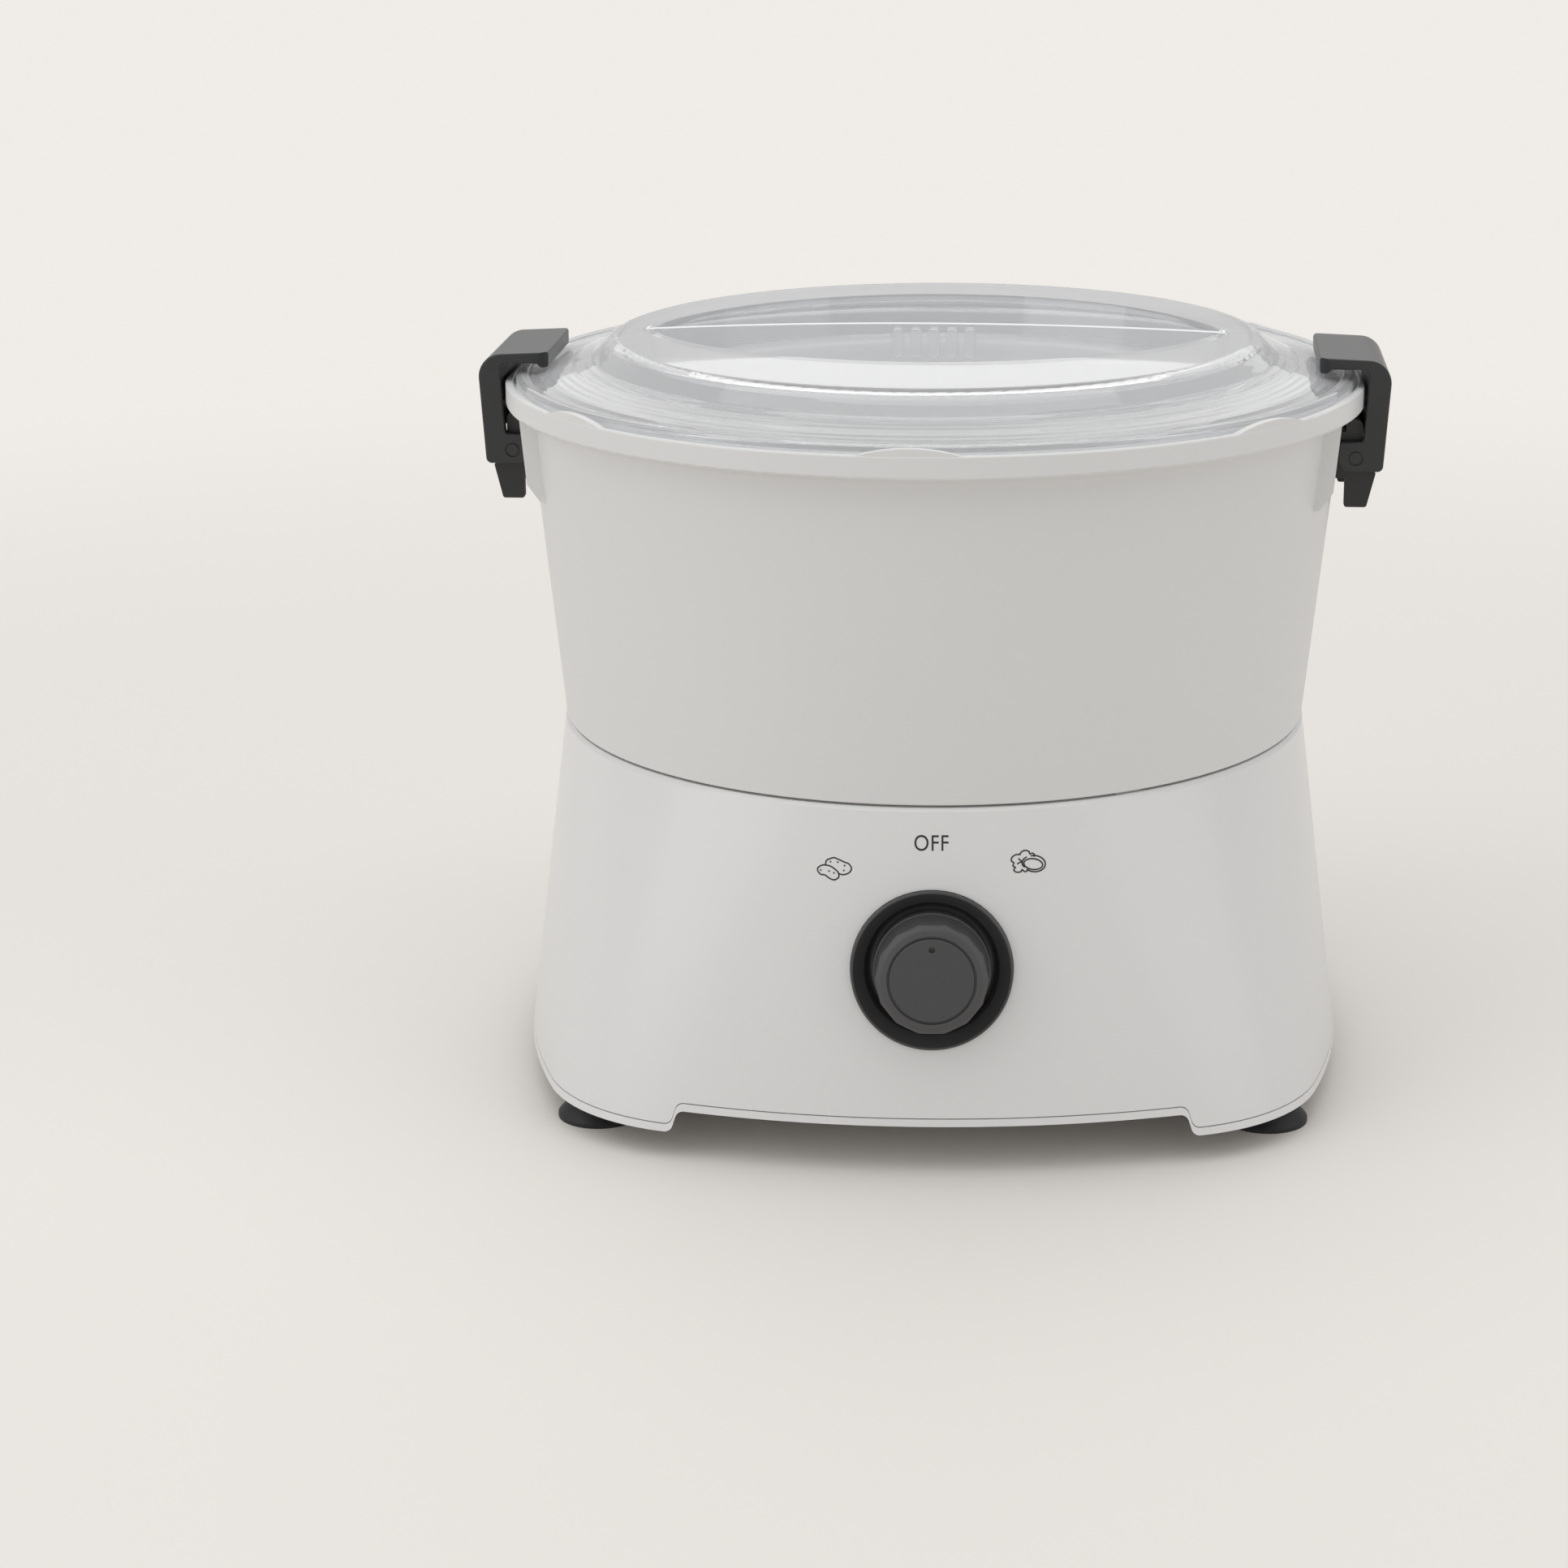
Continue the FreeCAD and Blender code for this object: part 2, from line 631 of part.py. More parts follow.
def cord_gland():
    inner = -BASE_WALL - GLAND_BACK
    return on_back(revolved([
        (GLAND_BORE_R, inner), (GLAND_NECK_R, inner), (GLAND_NECK_R, GLAND_SEAT), (GLAND_R, GLAND_SEAT),
        (GLAND_R, GLAND_SEAT + GLAND_FLANGE, 0.8), (GLAND_NECK_R, GLAND_PROUD, 1.0),
        (GLAND_BORE_R, GLAND_PROUD),
    ]))


# Knob, switch and bezel

def knob_bezel():
    floor = -BEZEL_DEPTH
    back = floor - BEZEL_FLOOR
    bore_r = SWITCH_NECK_R + PRESSED
    return on_panel(revolved([
        (bore_r, back), (BEZEL_R, back), (BEZEL_R, BEZEL_PROUD, 0.5),
        (BEZEL_R - BEZEL_EDGE, BEZEL_PROUD, 0.2), (BEZEL_SLOPE_R, -BEZEL_SLOPE_DEPTH, 0.8),
        (BEZEL_DISH_R, floor, 1.0), (bore_r, floor),
    ]))


def knob():
    skirt_low = SEAT - KNOB_SKIRT
    vertex_r = KNOB_FACE_R / math.cos(math.pi / KNOB_FACES)
    groove_r = CAP_R + CAP_GROOVE
    top = KNOB_LENGTH + KNOB_CROWN
    body = revolved([
        (0, skirt_low), (KNOB_R, skirt_low, 0.6), (KNOB_R, KNOB_SKIRT_TOP, 0.3), (vertex_r, KNOB_SKIRT_TOP),
        (vertex_r, KNOB_LENGTH, 0.5), (groove_r + 0.55 * (vertex_r - groove_r), top - 0.6, 2.5),
        (groove_r, top, 0.2), (groove_r, top - CAP_GROOVE_DEPTH), (0, top - CAP_GROOVE_DEPTH),
    ])
    flat_cut = box(KNOB_FACE_R, FAR, -FAR, FAR, KNOB_SKIRT_TOP, FAR)
    flat_cut = turned(flat_cut, -KNOB_LEAN, V(0, 1, 0), V(KNOB_FACE_R, 0, KNOB_SKIRT_TOP))
    for k in range(KNOB_FACES):
        body = body.cut(turned(flat_cut, (k + 0.5) * 360 / KNOB_FACES))
    seat_low = top - CAP_SEAT
    body = body.cut(cylinder(CAP_R + PRESSED, seat_low, FAR))
    hollow = tube(KNOB_HOLLOW_R, KNOB_BOSS_R, skirt_low - 1, top - KNOB_FACE_THICK - CAP_GROOVE_DEPTH)
    bore = cylinder(SPINDLE_R + PRESSED, skirt_low - 1, SPINDLE_TO + PRESSED)
    nut_room = cylinder(KNOB_HOLLOW_R, skirt_low - 1, -BEZEL_DEPTH + NUT_THICK + 1.2)
    return on_panel(body.cut(hollow).cut(bore).cut(nut_room).removeSplitter())


def knob_cap():
    top = KNOB_LENGTH + KNOB_CROWN
    low = top - CAP_SEAT
    cap = revolved([(0, low), (CAP_R, low), (CAP_R, top, CAP_EDGE), (0, top)])
    mark = cylinder(MARK_R, top - MARK_DEPTH, top + 1, 0, MARK_PLACE)
    return on_panel(cap.cut(mark))


def switch_spindle():
    back = -BEZEL_DEPTH - BEZEL_FLOOR - SPINDLE_BACK
    return on_panel(cylinder(SPINDLE_R, back, SPINDLE_TO))


def selector_switch():
    back = -BEZEL_DEPTH - BEZEL_FLOOR
    half = SWITCH_WIDTH / 2
    body = plan_prism([
        (-half, -half, SWITCH_EDGE), (half, -half, SWITCH_EDGE), (half, half, SWITCH_EDGE),
        (-half, half, SWITCH_EDGE)], back - SWITCH_DEPTH, back)
    neck = cylinder(SWITCH_NECK_R, back - 1, -BEZEL_DEPTH + NUT_THICK + SWITCH_NECK)
    body = body.fuse(neck).cut(cylinder(SPINDLE_R + RUNNING, back - SPINDLE_BACK - SEAT, FAR))
    for k in (-1, 0, 1):
        x = k * SWITCH_TAB_PITCH
        tab = box(x - SWITCH_TAB_WIDTH / 2, x + SWITCH_TAB_WIDTH / 2, 6, 6 + SWITCH_TAB_THICK,
                  back - SWITCH_DEPTH - SWITCH_TAB, back - SWITCH_DEPTH + 1)
        body = body.fuse(tab)
    return on_panel(body.removeSplitter())


def switch_nut():
    low = -BEZEL_DEPTH
    nut = hexagon(NUT_R * 2, low, low + NUT_THICK).cut(cylinder(SWITCH_NECK_R + PRESSED, low - 1, 0))
    return on_panel(nut)


# Bowl

def wall_r(z):
    share = (z - BOWL_LOW_Z) / (FLANGE_LOW_Z - BOWL_LOW_Z)
    return BOWL_FOOT_R + (BOWL_TOP_R - BOWL_FOOT_R) * share


# Places a latch piece, made on the +X side, on the right (side 1) or the left (side -1).
def latch_place(shape, side):
    return turned(shape, LATCH_TURN if side > 0 else 180 + LATCH_TURN)


# A solid cone that stands inside the bowl's outer wall by an inset.
def wall_cone(inset, low, high):
    return revolved([(0, low), (wall_r(low) - inset, low), (wall_r(high) - inset, high), (0, high)])


def pad_u(z):
    return PAD_TOP_U - (FLANGE_LOW_Z - z) * math.tan(math.radians(PAD_DRAFT))


def bowl_shell():
    lip_inner = FLANGE_R - LIP_WIDTH
    lip_top = FLANGE_TOP_Z + LIP_RISE
    foot_inner = BOWL_FOOT_R - BOWL_WALL
    post_r = CHIMNEY_R + CHIMNEY_WALL
    return revolved([
        (CHIMNEY_R, FLOOR_LOW_Z), (foot_inner, FLOOR_LOW_Z), (foot_inner, BOWL_LOW_Z),
        (BOWL_FOOT_R, BOWL_LOW_Z, 0.6), (BOWL_TOP_R, FLANGE_LOW_Z, FLANGE_ROUND),
        (FLANGE_R, FLANGE_LOW_Z + 0.6, FLANGE_EDGE), (FLANGE_R, lip_top, 0.5), (lip_inner, lip_top, 0.4),
        (lip_inner, FLANGE_TOP_Z), (BOWL_TOP_R - BOWL_WALL + 1, FLANGE_TOP_Z, 1.0),
        (wall_r(FLOOR_TOP_Z) - BOWL_WALL, FLOOR_TOP_Z, BOWL_INNER_ROUND),
        (post_r, FLOOR_TOP_Z, 2.0), (post_r, CHIMNEY_TOP_Z, 0.8), (CHIMNEY_R, CHIMNEY_TOP_Z, 0.8),
    ])


# A low swelling of the flange's lip, a slice of the lip under a round arch.
def lip_bump(angle):
    half = BUMP_LENGTH / 2
    arch_r = (half ** 2 + BUMP_RISE ** 2) / (2 * BUMP_RISE)
    top = FLANGE_TOP_Z + LIP_RISE + BUMP_RISE
    arch = turned(cylinder(arch_r, 0, FAR), 90, V(0, 1, 0))
    arch = moved(arch, 0, 0, top - arch_r)
    lip = tube(FLANGE_R - 0.2, FLANGE_R - LIP_WIDTH, FLANGE_TOP_Z, top + 1)
    return turned(arch.common(lip), angle - 90)


# The flat that carries a latch: a pad proud of the round wall at its ends, flush in its middle.
def latch_pad():
    low = FLANGE_LOW_Z - PAD_DROP
    high = FLANGE_LOW_Z + 1
    inner = PAD_TOP_U / 2
    pad = side_prism([(inner, low - PAD_TAPER), (pad_u(low) - PAD_TAPER_IN, low - PAD_TAPER),
                      (pad_u(low), low, 1.0), (pad_u(high), high), (inner, high)], -PAD_HALF, PAD_HALF)
    return pad.cut(wall_cone(BOWL_WALL / 2, low - PAD_TAPER - 1, high + 1))


def pad_cut():
    low = FLANGE_LOW_Z - PAD_CUT_DROP
    return side_prism([(pad_u(low), low), (FAR, low), (FAR, FLANGE_LOW_Z), (PAD_TOP_U, FLANGE_LOW_Z)],
                      -PAD_HALF, PAD_HALF)


# The boss inside the wall that takes the bracket screws; it slopes away towards its lower end.
def latch_boss():
    inner = PAD_TOP_U - BOSS_DEPTH
    low = FLANGE_LOW_Z - BOSS_DROP
    high = FLANGE_LOW_Z + 2
    block = side_prism([(inner + BOSS_DEPTH, low), (FAR, low), (FAR, high), (inner, high, 1.0),
                        (inner, low + BOSS_SLOPE, 3.0)], -BOSS_HALF, BOSS_HALF)
    return block.common(wall_cone(BOWL_WALL / 2, low - 1, high + 1))


def bowl():
    shell = bowl_shell()
    for angle in BUMP_ANGLES:
        shell = shell.fuse(lip_bump(angle))
    flange_flat = FLANGE_R - FLANGE_CUT
    flange_cut = box(flange_flat, FAR, -FAR, FAR, FLANGE_LOW_Z - 1, FAR)
    for side in (1, -1):
        shell = shell.fuse(latch_pad()).fuse(latch_boss()).cut(pad_cut()).cut(flange_cut)
        for v, z in bracket_screw_places():
            shell = shell.cut(along_u(SCREW_R + PRESSED, pad_u(z) - BRACKET_SCREW_LENGTH, FAR / 3, v, z))
        shell = turned(shell, 180)
    shell = turned(shell.removeSplitter(), LATCH_TURN)
    for notch in key_blocks(SEAT, BOWL_LOW_Z - 1, FLOOR_LOW_Z):
        shell = shell.cut(notch)
    return shell


def along_u(radius, u0, u1, v, z):
    return Part.makeCylinder(radius, u1 - u0, V(u0, v, z), V(1, 0, 0))


def along_v(radius, v0, v1, u, z):
    return Part.makeCylinder(radius, v1 - v0, V(u, v0, z), V(0, 1, 0))


# Latches, made on the +X side: u is X, v is Y

def bracket_screw_places():
    return [(-SCREW_APART, PIVOT_Z + SCREW_ABOVE), (SCREW_APART, PIVOT_Z + SCREW_ABOVE)]


def latch_bracket():
    plate_top = PIVOT_Z + BRACKET_ABOVE
    plate_low = PIVOT_Z - BRACKET_BELOW
    tail_top = PIVOT_Z - TAIL_TOP
    tail_low = PIVOT_Z - TAIL_BELOW
    front = PIVOT_U + BRACKET_FRONT
    knuckle_front = PIVOT_U + KNUCKLE_FRONT
    knuckle_top = PIVOT_Z + KNUCKLE_ABOVE
    block = side_prism([
        (pad_u(plate_low), plate_low), (PLATE_U, plate_low), (PLATE_U, tail_low, 0.8),
        (PIVOT_U + TAIL_LOW_FRONT, tail_low, 0.8), (PIVOT_U + TAIL_TOP_FRONT, tail_top, 0.5),
        (front, tail_top, 0.5), (front, PIVOT_Z + PIN_R * 2, 1.0), (knuckle_front, PIVOT_Z + PIN_R * 3),
        (knuckle_front, knuckle_top, KNUCKLE_ROUND), (PLATE_U, knuckle_top, KNUCKLE_ROUND),
        (PLATE_U, plate_top), (pad_u(plate_top), plate_top),
    ], -BRACKET_HALF, BRACKET_HALF)
    block = block.cut(along_v(PIN_R + PRESSED, -FAR, FAR, PIVOT_U, PIVOT_Z))
    spring_room = side_prism([(PLATE_U, tail_top - 1), (FAR, tail_top - 1), (FAR, FAR), (PLATE_U, FAR)],
                             -SPRING_GAP, SPRING_GAP)
    block = block.cut(spring_room.cut(along_v(PIN_R * 2, -FAR, FAR, PIVOT_U, PIVOT_Z)))
    inside = BRACKET_HALF - TAIL_WALL
    hollow_top = tail_top - TAIL_WALL
    block = block.cut(side_prism([
        (PLATE_U - 1, tail_low - 1), (PIVOT_U + TAIL_LOW_FRONT - TAIL_WALL, tail_low - 1),
        (PIVOT_U + TAIL_TOP_FRONT - TAIL_WALL - 0.5, hollow_top, 1.0), (PLATE_U - 1, hollow_top),
    ], -inside, inside))
    for v, z in bracket_screw_places():
        block = block.cut(along_u(SCREW_R + 0.2, pad_u(z) - 1, FAR, v, z))
        block = block.cut(along_u(BRACKET_SCREW_HEAD_R + 0.3, PLATE_U, FAR, v, z))
    return block.removeSplitter()


def latch_hook():
    outer_u = FLANGE_R + HOOK_OUT
    tip_u = outer_u - HOOK_REACH
    top = FLANGE_TOP_Z + HOOK_RISE
    low = PIVOT_Z - CHEEK_BELOW
    cheek_top = PIVOT_Z + CHEEK_ABOVE
    back_u = PIVOT_U - CHEEK_BACK
    claw_under = top - HOOK_CLAW
    lean = math.tan(math.radians(HOOK_LEAN))
    low_u = outer_u - lean * (top - HOOK_SHOULDER - low)
    arm_top_u = outer_u - HOOK_ARM
    arm_low_u = arm_top_u - lean * (claw_under - cheek_top)
    lip_end = tip_u + HOOK_LIP_WIDTH
    hook = side_prism([
        (tip_u, top, 0.8), (outer_u + lean * HOOK_SHOULDER, top - HOOK_FALL, HOOK_SHOULDER),
        (low_u, low, 1.6), (back_u, low, CHEEK_ROUND), (back_u + 0.5, cheek_top, 1.0),
        (arm_low_u, cheek_top, 1.2), (arm_top_u, claw_under, 2.0), (lip_end + HOOK_LIP, claw_under, 0.4),
        (lip_end, claw_under - HOOK_LIP, 0.3), (tip_u + 0.2, claw_under - HOOK_LIP, 0.4),
    ], -LATCH_HALF, LATCH_HALF)
    sides = [edge for edge in hook.Edges if edge.BoundBox.YLength < 0.01 and edge.BoundBox.XMax > outer_u - 2]
    hook = hook.makeFillet(HOOK_EDGE, sides)
    hook = hook.common(plan_prism([
        (tip_u, -LATCH_HALF, HOOK_TIP_ROUND), (FAR, -LATCH_HALF), (FAR, LATCH_HALF),
        (tip_u, LATCH_HALF, HOOK_TIP_ROUND),
    ], 0, FAR))
    inside = LATCH_HALF - CHEEK_THICK
    window = box(back_u - 5, outer_u + 5, -inside, inside, low - 5, FLANGE_TOP_Z - HOOK_WINDOW_DROP)
    hook = hook.cut(window)
    hook = hook.cut(along_v(PIN_R + RUNNING, -FAR, FAR, PIVOT_U, PIVOT_Z))
    for v in (-LATCH_HALF - 1, LATCH_HALF - PIN_RING_DEPTH):
        hook = hook.cut(along_v(PIN_R + PIN_RING, v, v + PIN_RING_DEPTH + 1, PIVOT_U, PIVOT_Z))
    return hook.removeSplitter()


def latch_pin():
    half = LATCH_HALF - 0.1
    return along_v(PIN_R, -half, half, PIVOT_U, PIVOT_Z)


def bracket_screws():
    screws = []
    for v, z in bracket_screw_places():
        head_u = PLATE_U + BRACKET_SCREW_HEAD
        shank = along_u(SCREW_R, pad_u(z) - BRACKET_SCREW_LENGTH, PLATE_U, v, z)
        head = along_u(BRACKET_SCREW_HEAD_R, PLATE_U, head_u, v, z)
        slot = along_u(BRACKET_SCREW_HEAD_R * 0.45, head_u - BRACKET_SCREW_HEAD / 2, head_u + 1, v, z)
        screws.append(shank.fuse(head).cut(slot).removeSplitter())
    return Part.makeCompound(screws)


# Lid

# A lens whose walls lean in by the draft from top to bottom.
def drafted_lens(inset, z0, z1):
    wires = []
    for z, extra in ((z0, LENS_DRAFT), (z1, 0.0)):
        half_width = LENS_HALF_WIDTH - inset - extra
        arc_r = (LENS_HALF_LENGTH ** 2 + LENS_HALF_WIDTH ** 2) / (2 * LENS_HALF_WIDTH) - inset - extra
        half_length = math.sqrt(arc_r ** 2 - (arc_r - half_width) ** 2)
        near = Part.Arc(V(-half_length, 0, z), V(0, -half_width, z), V(half_length, 0, z)).toShape()
        far = Part.Arc(V(half_length, 0, z), V(0, half_width, z), V(-half_length, 0, z)).toShape()
        wires.append(Part.Wire([near, far]))
    return Part.makeLoft(wires, True, True)


def crown_r():
    rise = CROWN_Z - SHOULDER_Z
    return (SHOULDER_R ** 2 + rise ** 2) / (2 * rise)


# Everything under the crown's shallow dome, lowered by an amount.
def under_crown(lowered):
    ball = Part.makeSphere(crown_r(), V(0, 0, CROWN_Z - lowered - crown_r()))
    return ball.common(cylinder(SHOULDER_R + 20, 0, FAR))


# The raised middle of the lid, from its foot to the axis; thick takes it in to the inner surface.
def lid_middle(thick):
    foot_r = FLANGE_R - STEP_IN - thick
    foot_z = FLANGE_TOP_Z + STEP_RISE - thick
    return [
        (foot_r, foot_z, 1.0), (SHOULDER_R - thick / 2, SHOULDER_Z - thick, SHOULDER_ROUND),
        (SHOULDER_R / 2, CROWN_Z - thick, crown_r() * 0.92), (0, CROWN_Z - thick),
    ]


# A bar along Y with rounded edges, which shows as a rib on both faces of the fin.
def grip_rib(x):
    half = RIB_WIDTH / 2
    reach = FIN_THICK / 2 + RIB_PROUD
    low = FLANGE_TOP_Z + RIB_LOW
    high = FLANGE_TOP_Z + RIB_TOP
    return side_prism([(x - half, low, RIB_ROUND), (x + half, low, RIB_ROUND), (x + half, high, RIB_ROUND),
                       (x - half, high, RIB_ROUND)], -reach, reach)


def lid():
    edge_z = FLANGE_TOP_Z + LID_EDGE_RISE
    bead_r = LID_R - BEAD_WIDTH
    groove_z = edge_z - BRIM_GROOVE
    brim_r = bead_r - BRIM_WIDTH
    brim_z = FLANGE_TOP_Z + BRIM_RISE
    dome = revolved([
        (0, LID_LOW_Z), (LID_R, LID_LOW_Z, 0.6), (LID_R, edge_z, LID_EDGE), (bead_r + 0.4, edge_z, 0.5),
        (bead_r, groove_z, 0.3), (bead_r - 1.6, groove_z + 0.3, 0.3), (brim_r + 0.3, brim_z, 0.4),
        (brim_r - 0.3, brim_z - 0.6, 0.3), (brim_r - 1.6, brim_z - 0.2, 0.3),
    ] + lid_middle(0))
    hollow = revolved([
        (0, LID_LOW_Z - 1), (LID_R - 8, LID_LOW_Z - 1), (LID_R - 8, LID_LOW_Z + 0.6),
        (brim_r - 1, brim_z - LID_THICK - 0.6),
    ] + lid_middle(LID_THICK))
    shell = dome.cut(hollow)
    lens_top = CROWN_Z + 1
    cup = drafted_lens(-LID_THICK, LENS_FLOOR_Z - LID_THICK, lens_top).common(under_crown(0.4))
    shell = shell.fuse(cup).cut(drafted_lens(0, LENS_FLOOR_Z, lens_top))
    fin = box(-FAR, FAR, -FIN_THICK / 2, FIN_THICK / 2, LENS_FLOOR_Z - 1, lens_top)
    fin = fin.common(under_crown(0.2)).common(drafted_lens(-1, LENS_FLOOR_Z - 1, lens_top))
    shell = shell.fuse(fin)
    for k in range(RIB_COUNT):
        shell = shell.fuse(grip_rib((k - (RIB_COUNT - 1) / 2) * RIB_PITCH))
    skirt_r = BOWL_TOP_R - BOWL_WALL - SKIRT_CLEAR
    skirt_low = FLANGE_TOP_Z - SKIRT_DROP
    skirt = tube(skirt_r, skirt_r - SKIRT_THICK, skirt_low, LID_LOW_Z + 1.5)
    for side in (1, -1):
        gap = box(0, FAR, -BOSS_HALF - 3, BOSS_HALF + 3, skirt_low - 1, LID_LOW_Z)
        skirt = skirt.cut(turned(gap, 90 - 90 * side))
    return turned(shell.fuse(skirt).removeSplitter(), LATCH_TURN)


# Gears

# One tooth flank from the root circle to the tip circle, as an arc through three points of the
# involute, given the number of teeth; side is 1 or -1.
def flank_points(teeth, side):
    pressure = math.radians(PRESSURE_ANGLE)
    pitch_r = GEAR_MODULE * teeth / 2
    base_r = pitch_r * math.cos(pressure)
    tip_r = pitch_r + GEAR_MODULE
    half_tooth = math.pi / 2 / teeth - BACKLASH / 4 / pitch_r
    involute = math.tan(pressure) - pressure
    points = []
    for share in (0.0, 0.5, 1.0):
        start_r = max(base_r, pitch_r - 1.25 * GEAR_MODULE)
        r = start_r + (tip_r - start_r) * share
        turn = math.acos(min(1.0, base_r / r))
        angle = half_tooth + involute - (math.tan(turn) - turn)
        points.append((r, side * angle))
    return points


def gear_wire(teeth):
    root_r = GEAR_MODULE * (teeth / 2 - 1.25)
    step = 2 * math.pi / teeth
    edges = []

    def at(r, angle):
        return V(r * math.cos(angle), r * math.sin(angle), 0)

    for k in range(teeth):
        centre = k * step
        rising = [at(r, centre + a) for r, a in flank_points(teeth, -1)]
        falling = [at(r, centre + a) for r, a in reversed(flank_points(teeth, 1))]
        root_start = at(root_r, centre + flank_points(teeth, -1)[0][1])
        root_end = at(root_r, centre + flank_points(teeth, 1)[0][1])
        next_root = at(root_r, centre + step + flank_points(teeth, -1)[0][1])
        root_middle = at(root_r, centre + step / 2)
        if (root_start - rising[0]).Length > 1e-6:
            edges.append(Part.LineSegment(root_start, rising[0]).toShape())
        edges.append(Part.Arc(*rising).toShape())
        edges.append(Part.LineSegment(rising[-1], falling[0]).toShape())
        edges.append(Part.Arc(*falling).toShape())
        if (root_end - falling[-1]).Length > 1e-6:
            edges.append(Part.LineSegment(falling[-1], root_end).toShape())
        edges.append(Part.Arc(root_end, root_middle, next_root).toShape())
    return Part.Wire(edges)


def drive_gear():
    top = GEAR_Z + GEAR_FACE
    blank = moved(Part.Face(gear_wire(GEAR_TEETH)), 0, 0, GEAR_Z).extrude(V(0, 0, GEAR_FACE))
    blank = turned(blank, 90)
    rim_r = GEAR_MODULE * (GEAR_TEETH / 2 - 1.25) - GEAR_RIM
    dish = (GEAR_FACE - GEAR_WEB) / 2
    for low, high in ((GEAR_Z - 1, GEAR_Z + dish), (top - dish, top + 1)):
        blank = blank.cut(tube(rim_r, GEAR_HUB_R, low, high))
    hole_place = (rim_r + GEAR_HUB_R) / 2
    for k in range(GEAR_HOLES):
        hole = cylinder(GEAR_HOLE_R, GEAR_Z - 1, top + 1, hole_place)
        blank = blank.cut(turned(hole, 360 / GEAR_HOLES * k))
    hub = cylinder(GEAR_HUB_R, GEAR_Z, GEAR_Z + GEAR_HUB)
    return blank.fuse(hub).cut(cylinder(SHAFT_R + PRESSED, 0, FAR)).removeSplitter()


def motor_pinion():
    low = GEAR_Z - PINION_EXTRA
    high = GEAR_Z + GEAR_FACE + PINION_EXTRA
    wheel = moved(Part.Face(gear_wire(PINION_TEETH)), 0, 0, low).extrude(V(0, 0, high - low))
    half_step = 180.0 / PINION_TEETH
    wheel = turned(wheel, -90 + half_step)
    wheel = moved(wheel, 0, CENTRE_DISTANCE, 0)
    return wheel.cut(cylinder(MOTOR_SHAFT_R + PRESSED, 0, FAR, 0, CENTRE_DISTANCE))


def drive_shaft():
    top = HEX_LOW_Z + HEX_HEIGHT
    shaft = revolved([(0, SHAFT_LOW_Z), (SHAFT_R - 0.5, SHAFT_LOW_Z), (SHAFT_R, SHAFT_LOW_Z + 0.5),
                      (SHAFT_R, top - 0.5), (SHAFT_R - 0.5, top), (0, top)])
    for z in clip_heights():
        shaft = shaft.cut(tube(SHAFT_R + 1, SHAFT_R - 0.5, z, z + CLIP_THICK))
    return shaft


def clip_heights():
    return [GEAR_Z + GEAR_HUB + 0.1]


def shaft_clip():
    rings = []
    for z in clip_heights():
        ring = tube(CLIP_R, SHAFT_R - 0.5 + PRESSED, z + 0.05, z + CLIP_THICK - 0.05)
        rings.append(ring.cut(box(0, FAR, -SHAFT_R * 0.6, SHAFT_R * 0.6, z - 1, z + CLIP_THICK + 1)))
    return Part.makeCompound(rings)


def drive_coupling():
    top = HEX_LOW_Z + HEX_HEIGHT
    head = hexagon(HEX_FLATS, HEX_LOW_Z, top)
    trim = revolved([(0, HEX_LOW_Z), (FAR, HEX_LOW_Z), (FAR, HEX_LOW_Z + 1), (HEX_FLATS / 2 + 1.6, top - 1),
                     (HEX_FLATS / 2 - 0.4, top), (0, top)])
    return head.common(trim).cut(cylinder(SHAFT_R + PRESSED, 0, FAR))


def upper_bearing():
    low = SPIGOT_Z - DECK_THICK - BEARING_WIDTH - 1
    high = low + BEARING_WIDTH
    outer = tube(BEARING_R, BEARING_R - BEARING_RACE, low, high)
    shield = tube(BEARING_R - BEARING_RACE, SHAFT_R + BEARING_RACE, low + 0.6, high - 0.6)
    inner = tube(SHAFT_R + BEARING_RACE, SHAFT_R + RUNNING, low, high)
    return fused([outer, shield, inner])


def lower_bush():
    top = SHAFT_LOW_Z + BUSH_LENGTH
    return revolved([
        (SHAFT_R + RUNNING, SHAFT_LOW_Z), (BUSH_R, SHAFT_LOW_Z), (BUSH_R, top), (BUSH_FLANGE_R, top),
        (BUSH_FLANGE_R, top + BUSH_FLANGE), (SHAFT_R + RUNNING, top + BUSH_FLANGE)])


def shaft_seal():
    low = SPIGOT_Z + COLLAR_RISE - SEAL_THICK
    return revolved([
        (SHAFT_R + RUNNING, low + 1.2), (SHAFT_R + 1.4, low), (COLLAR_R - 2 - PRESSED, low),
        (COLLAR_R - 2 - PRESSED, low + SEAL_THICK), (SHAFT_R + 2.0, low + SEAL_THICK),
        (SHAFT_R + RUNNING, low + 2.2)])


# Motor

def at_motor(shape):
    return moved(shape, 0, CENTRE_DISTANCE, 0)


def motor_can():
    low = MOTOR_LOW_Z + MOTOR_CAP
    high = MOTOR_LOW_Z + MOTOR_LENGTH - MOTOR_CAP
    core = cylinder(MOTOR_R, low, high)
    return at_motor(core.cut(cylinder(MOTOR_SHAFT_R + 1, low - 1, high + 1)))


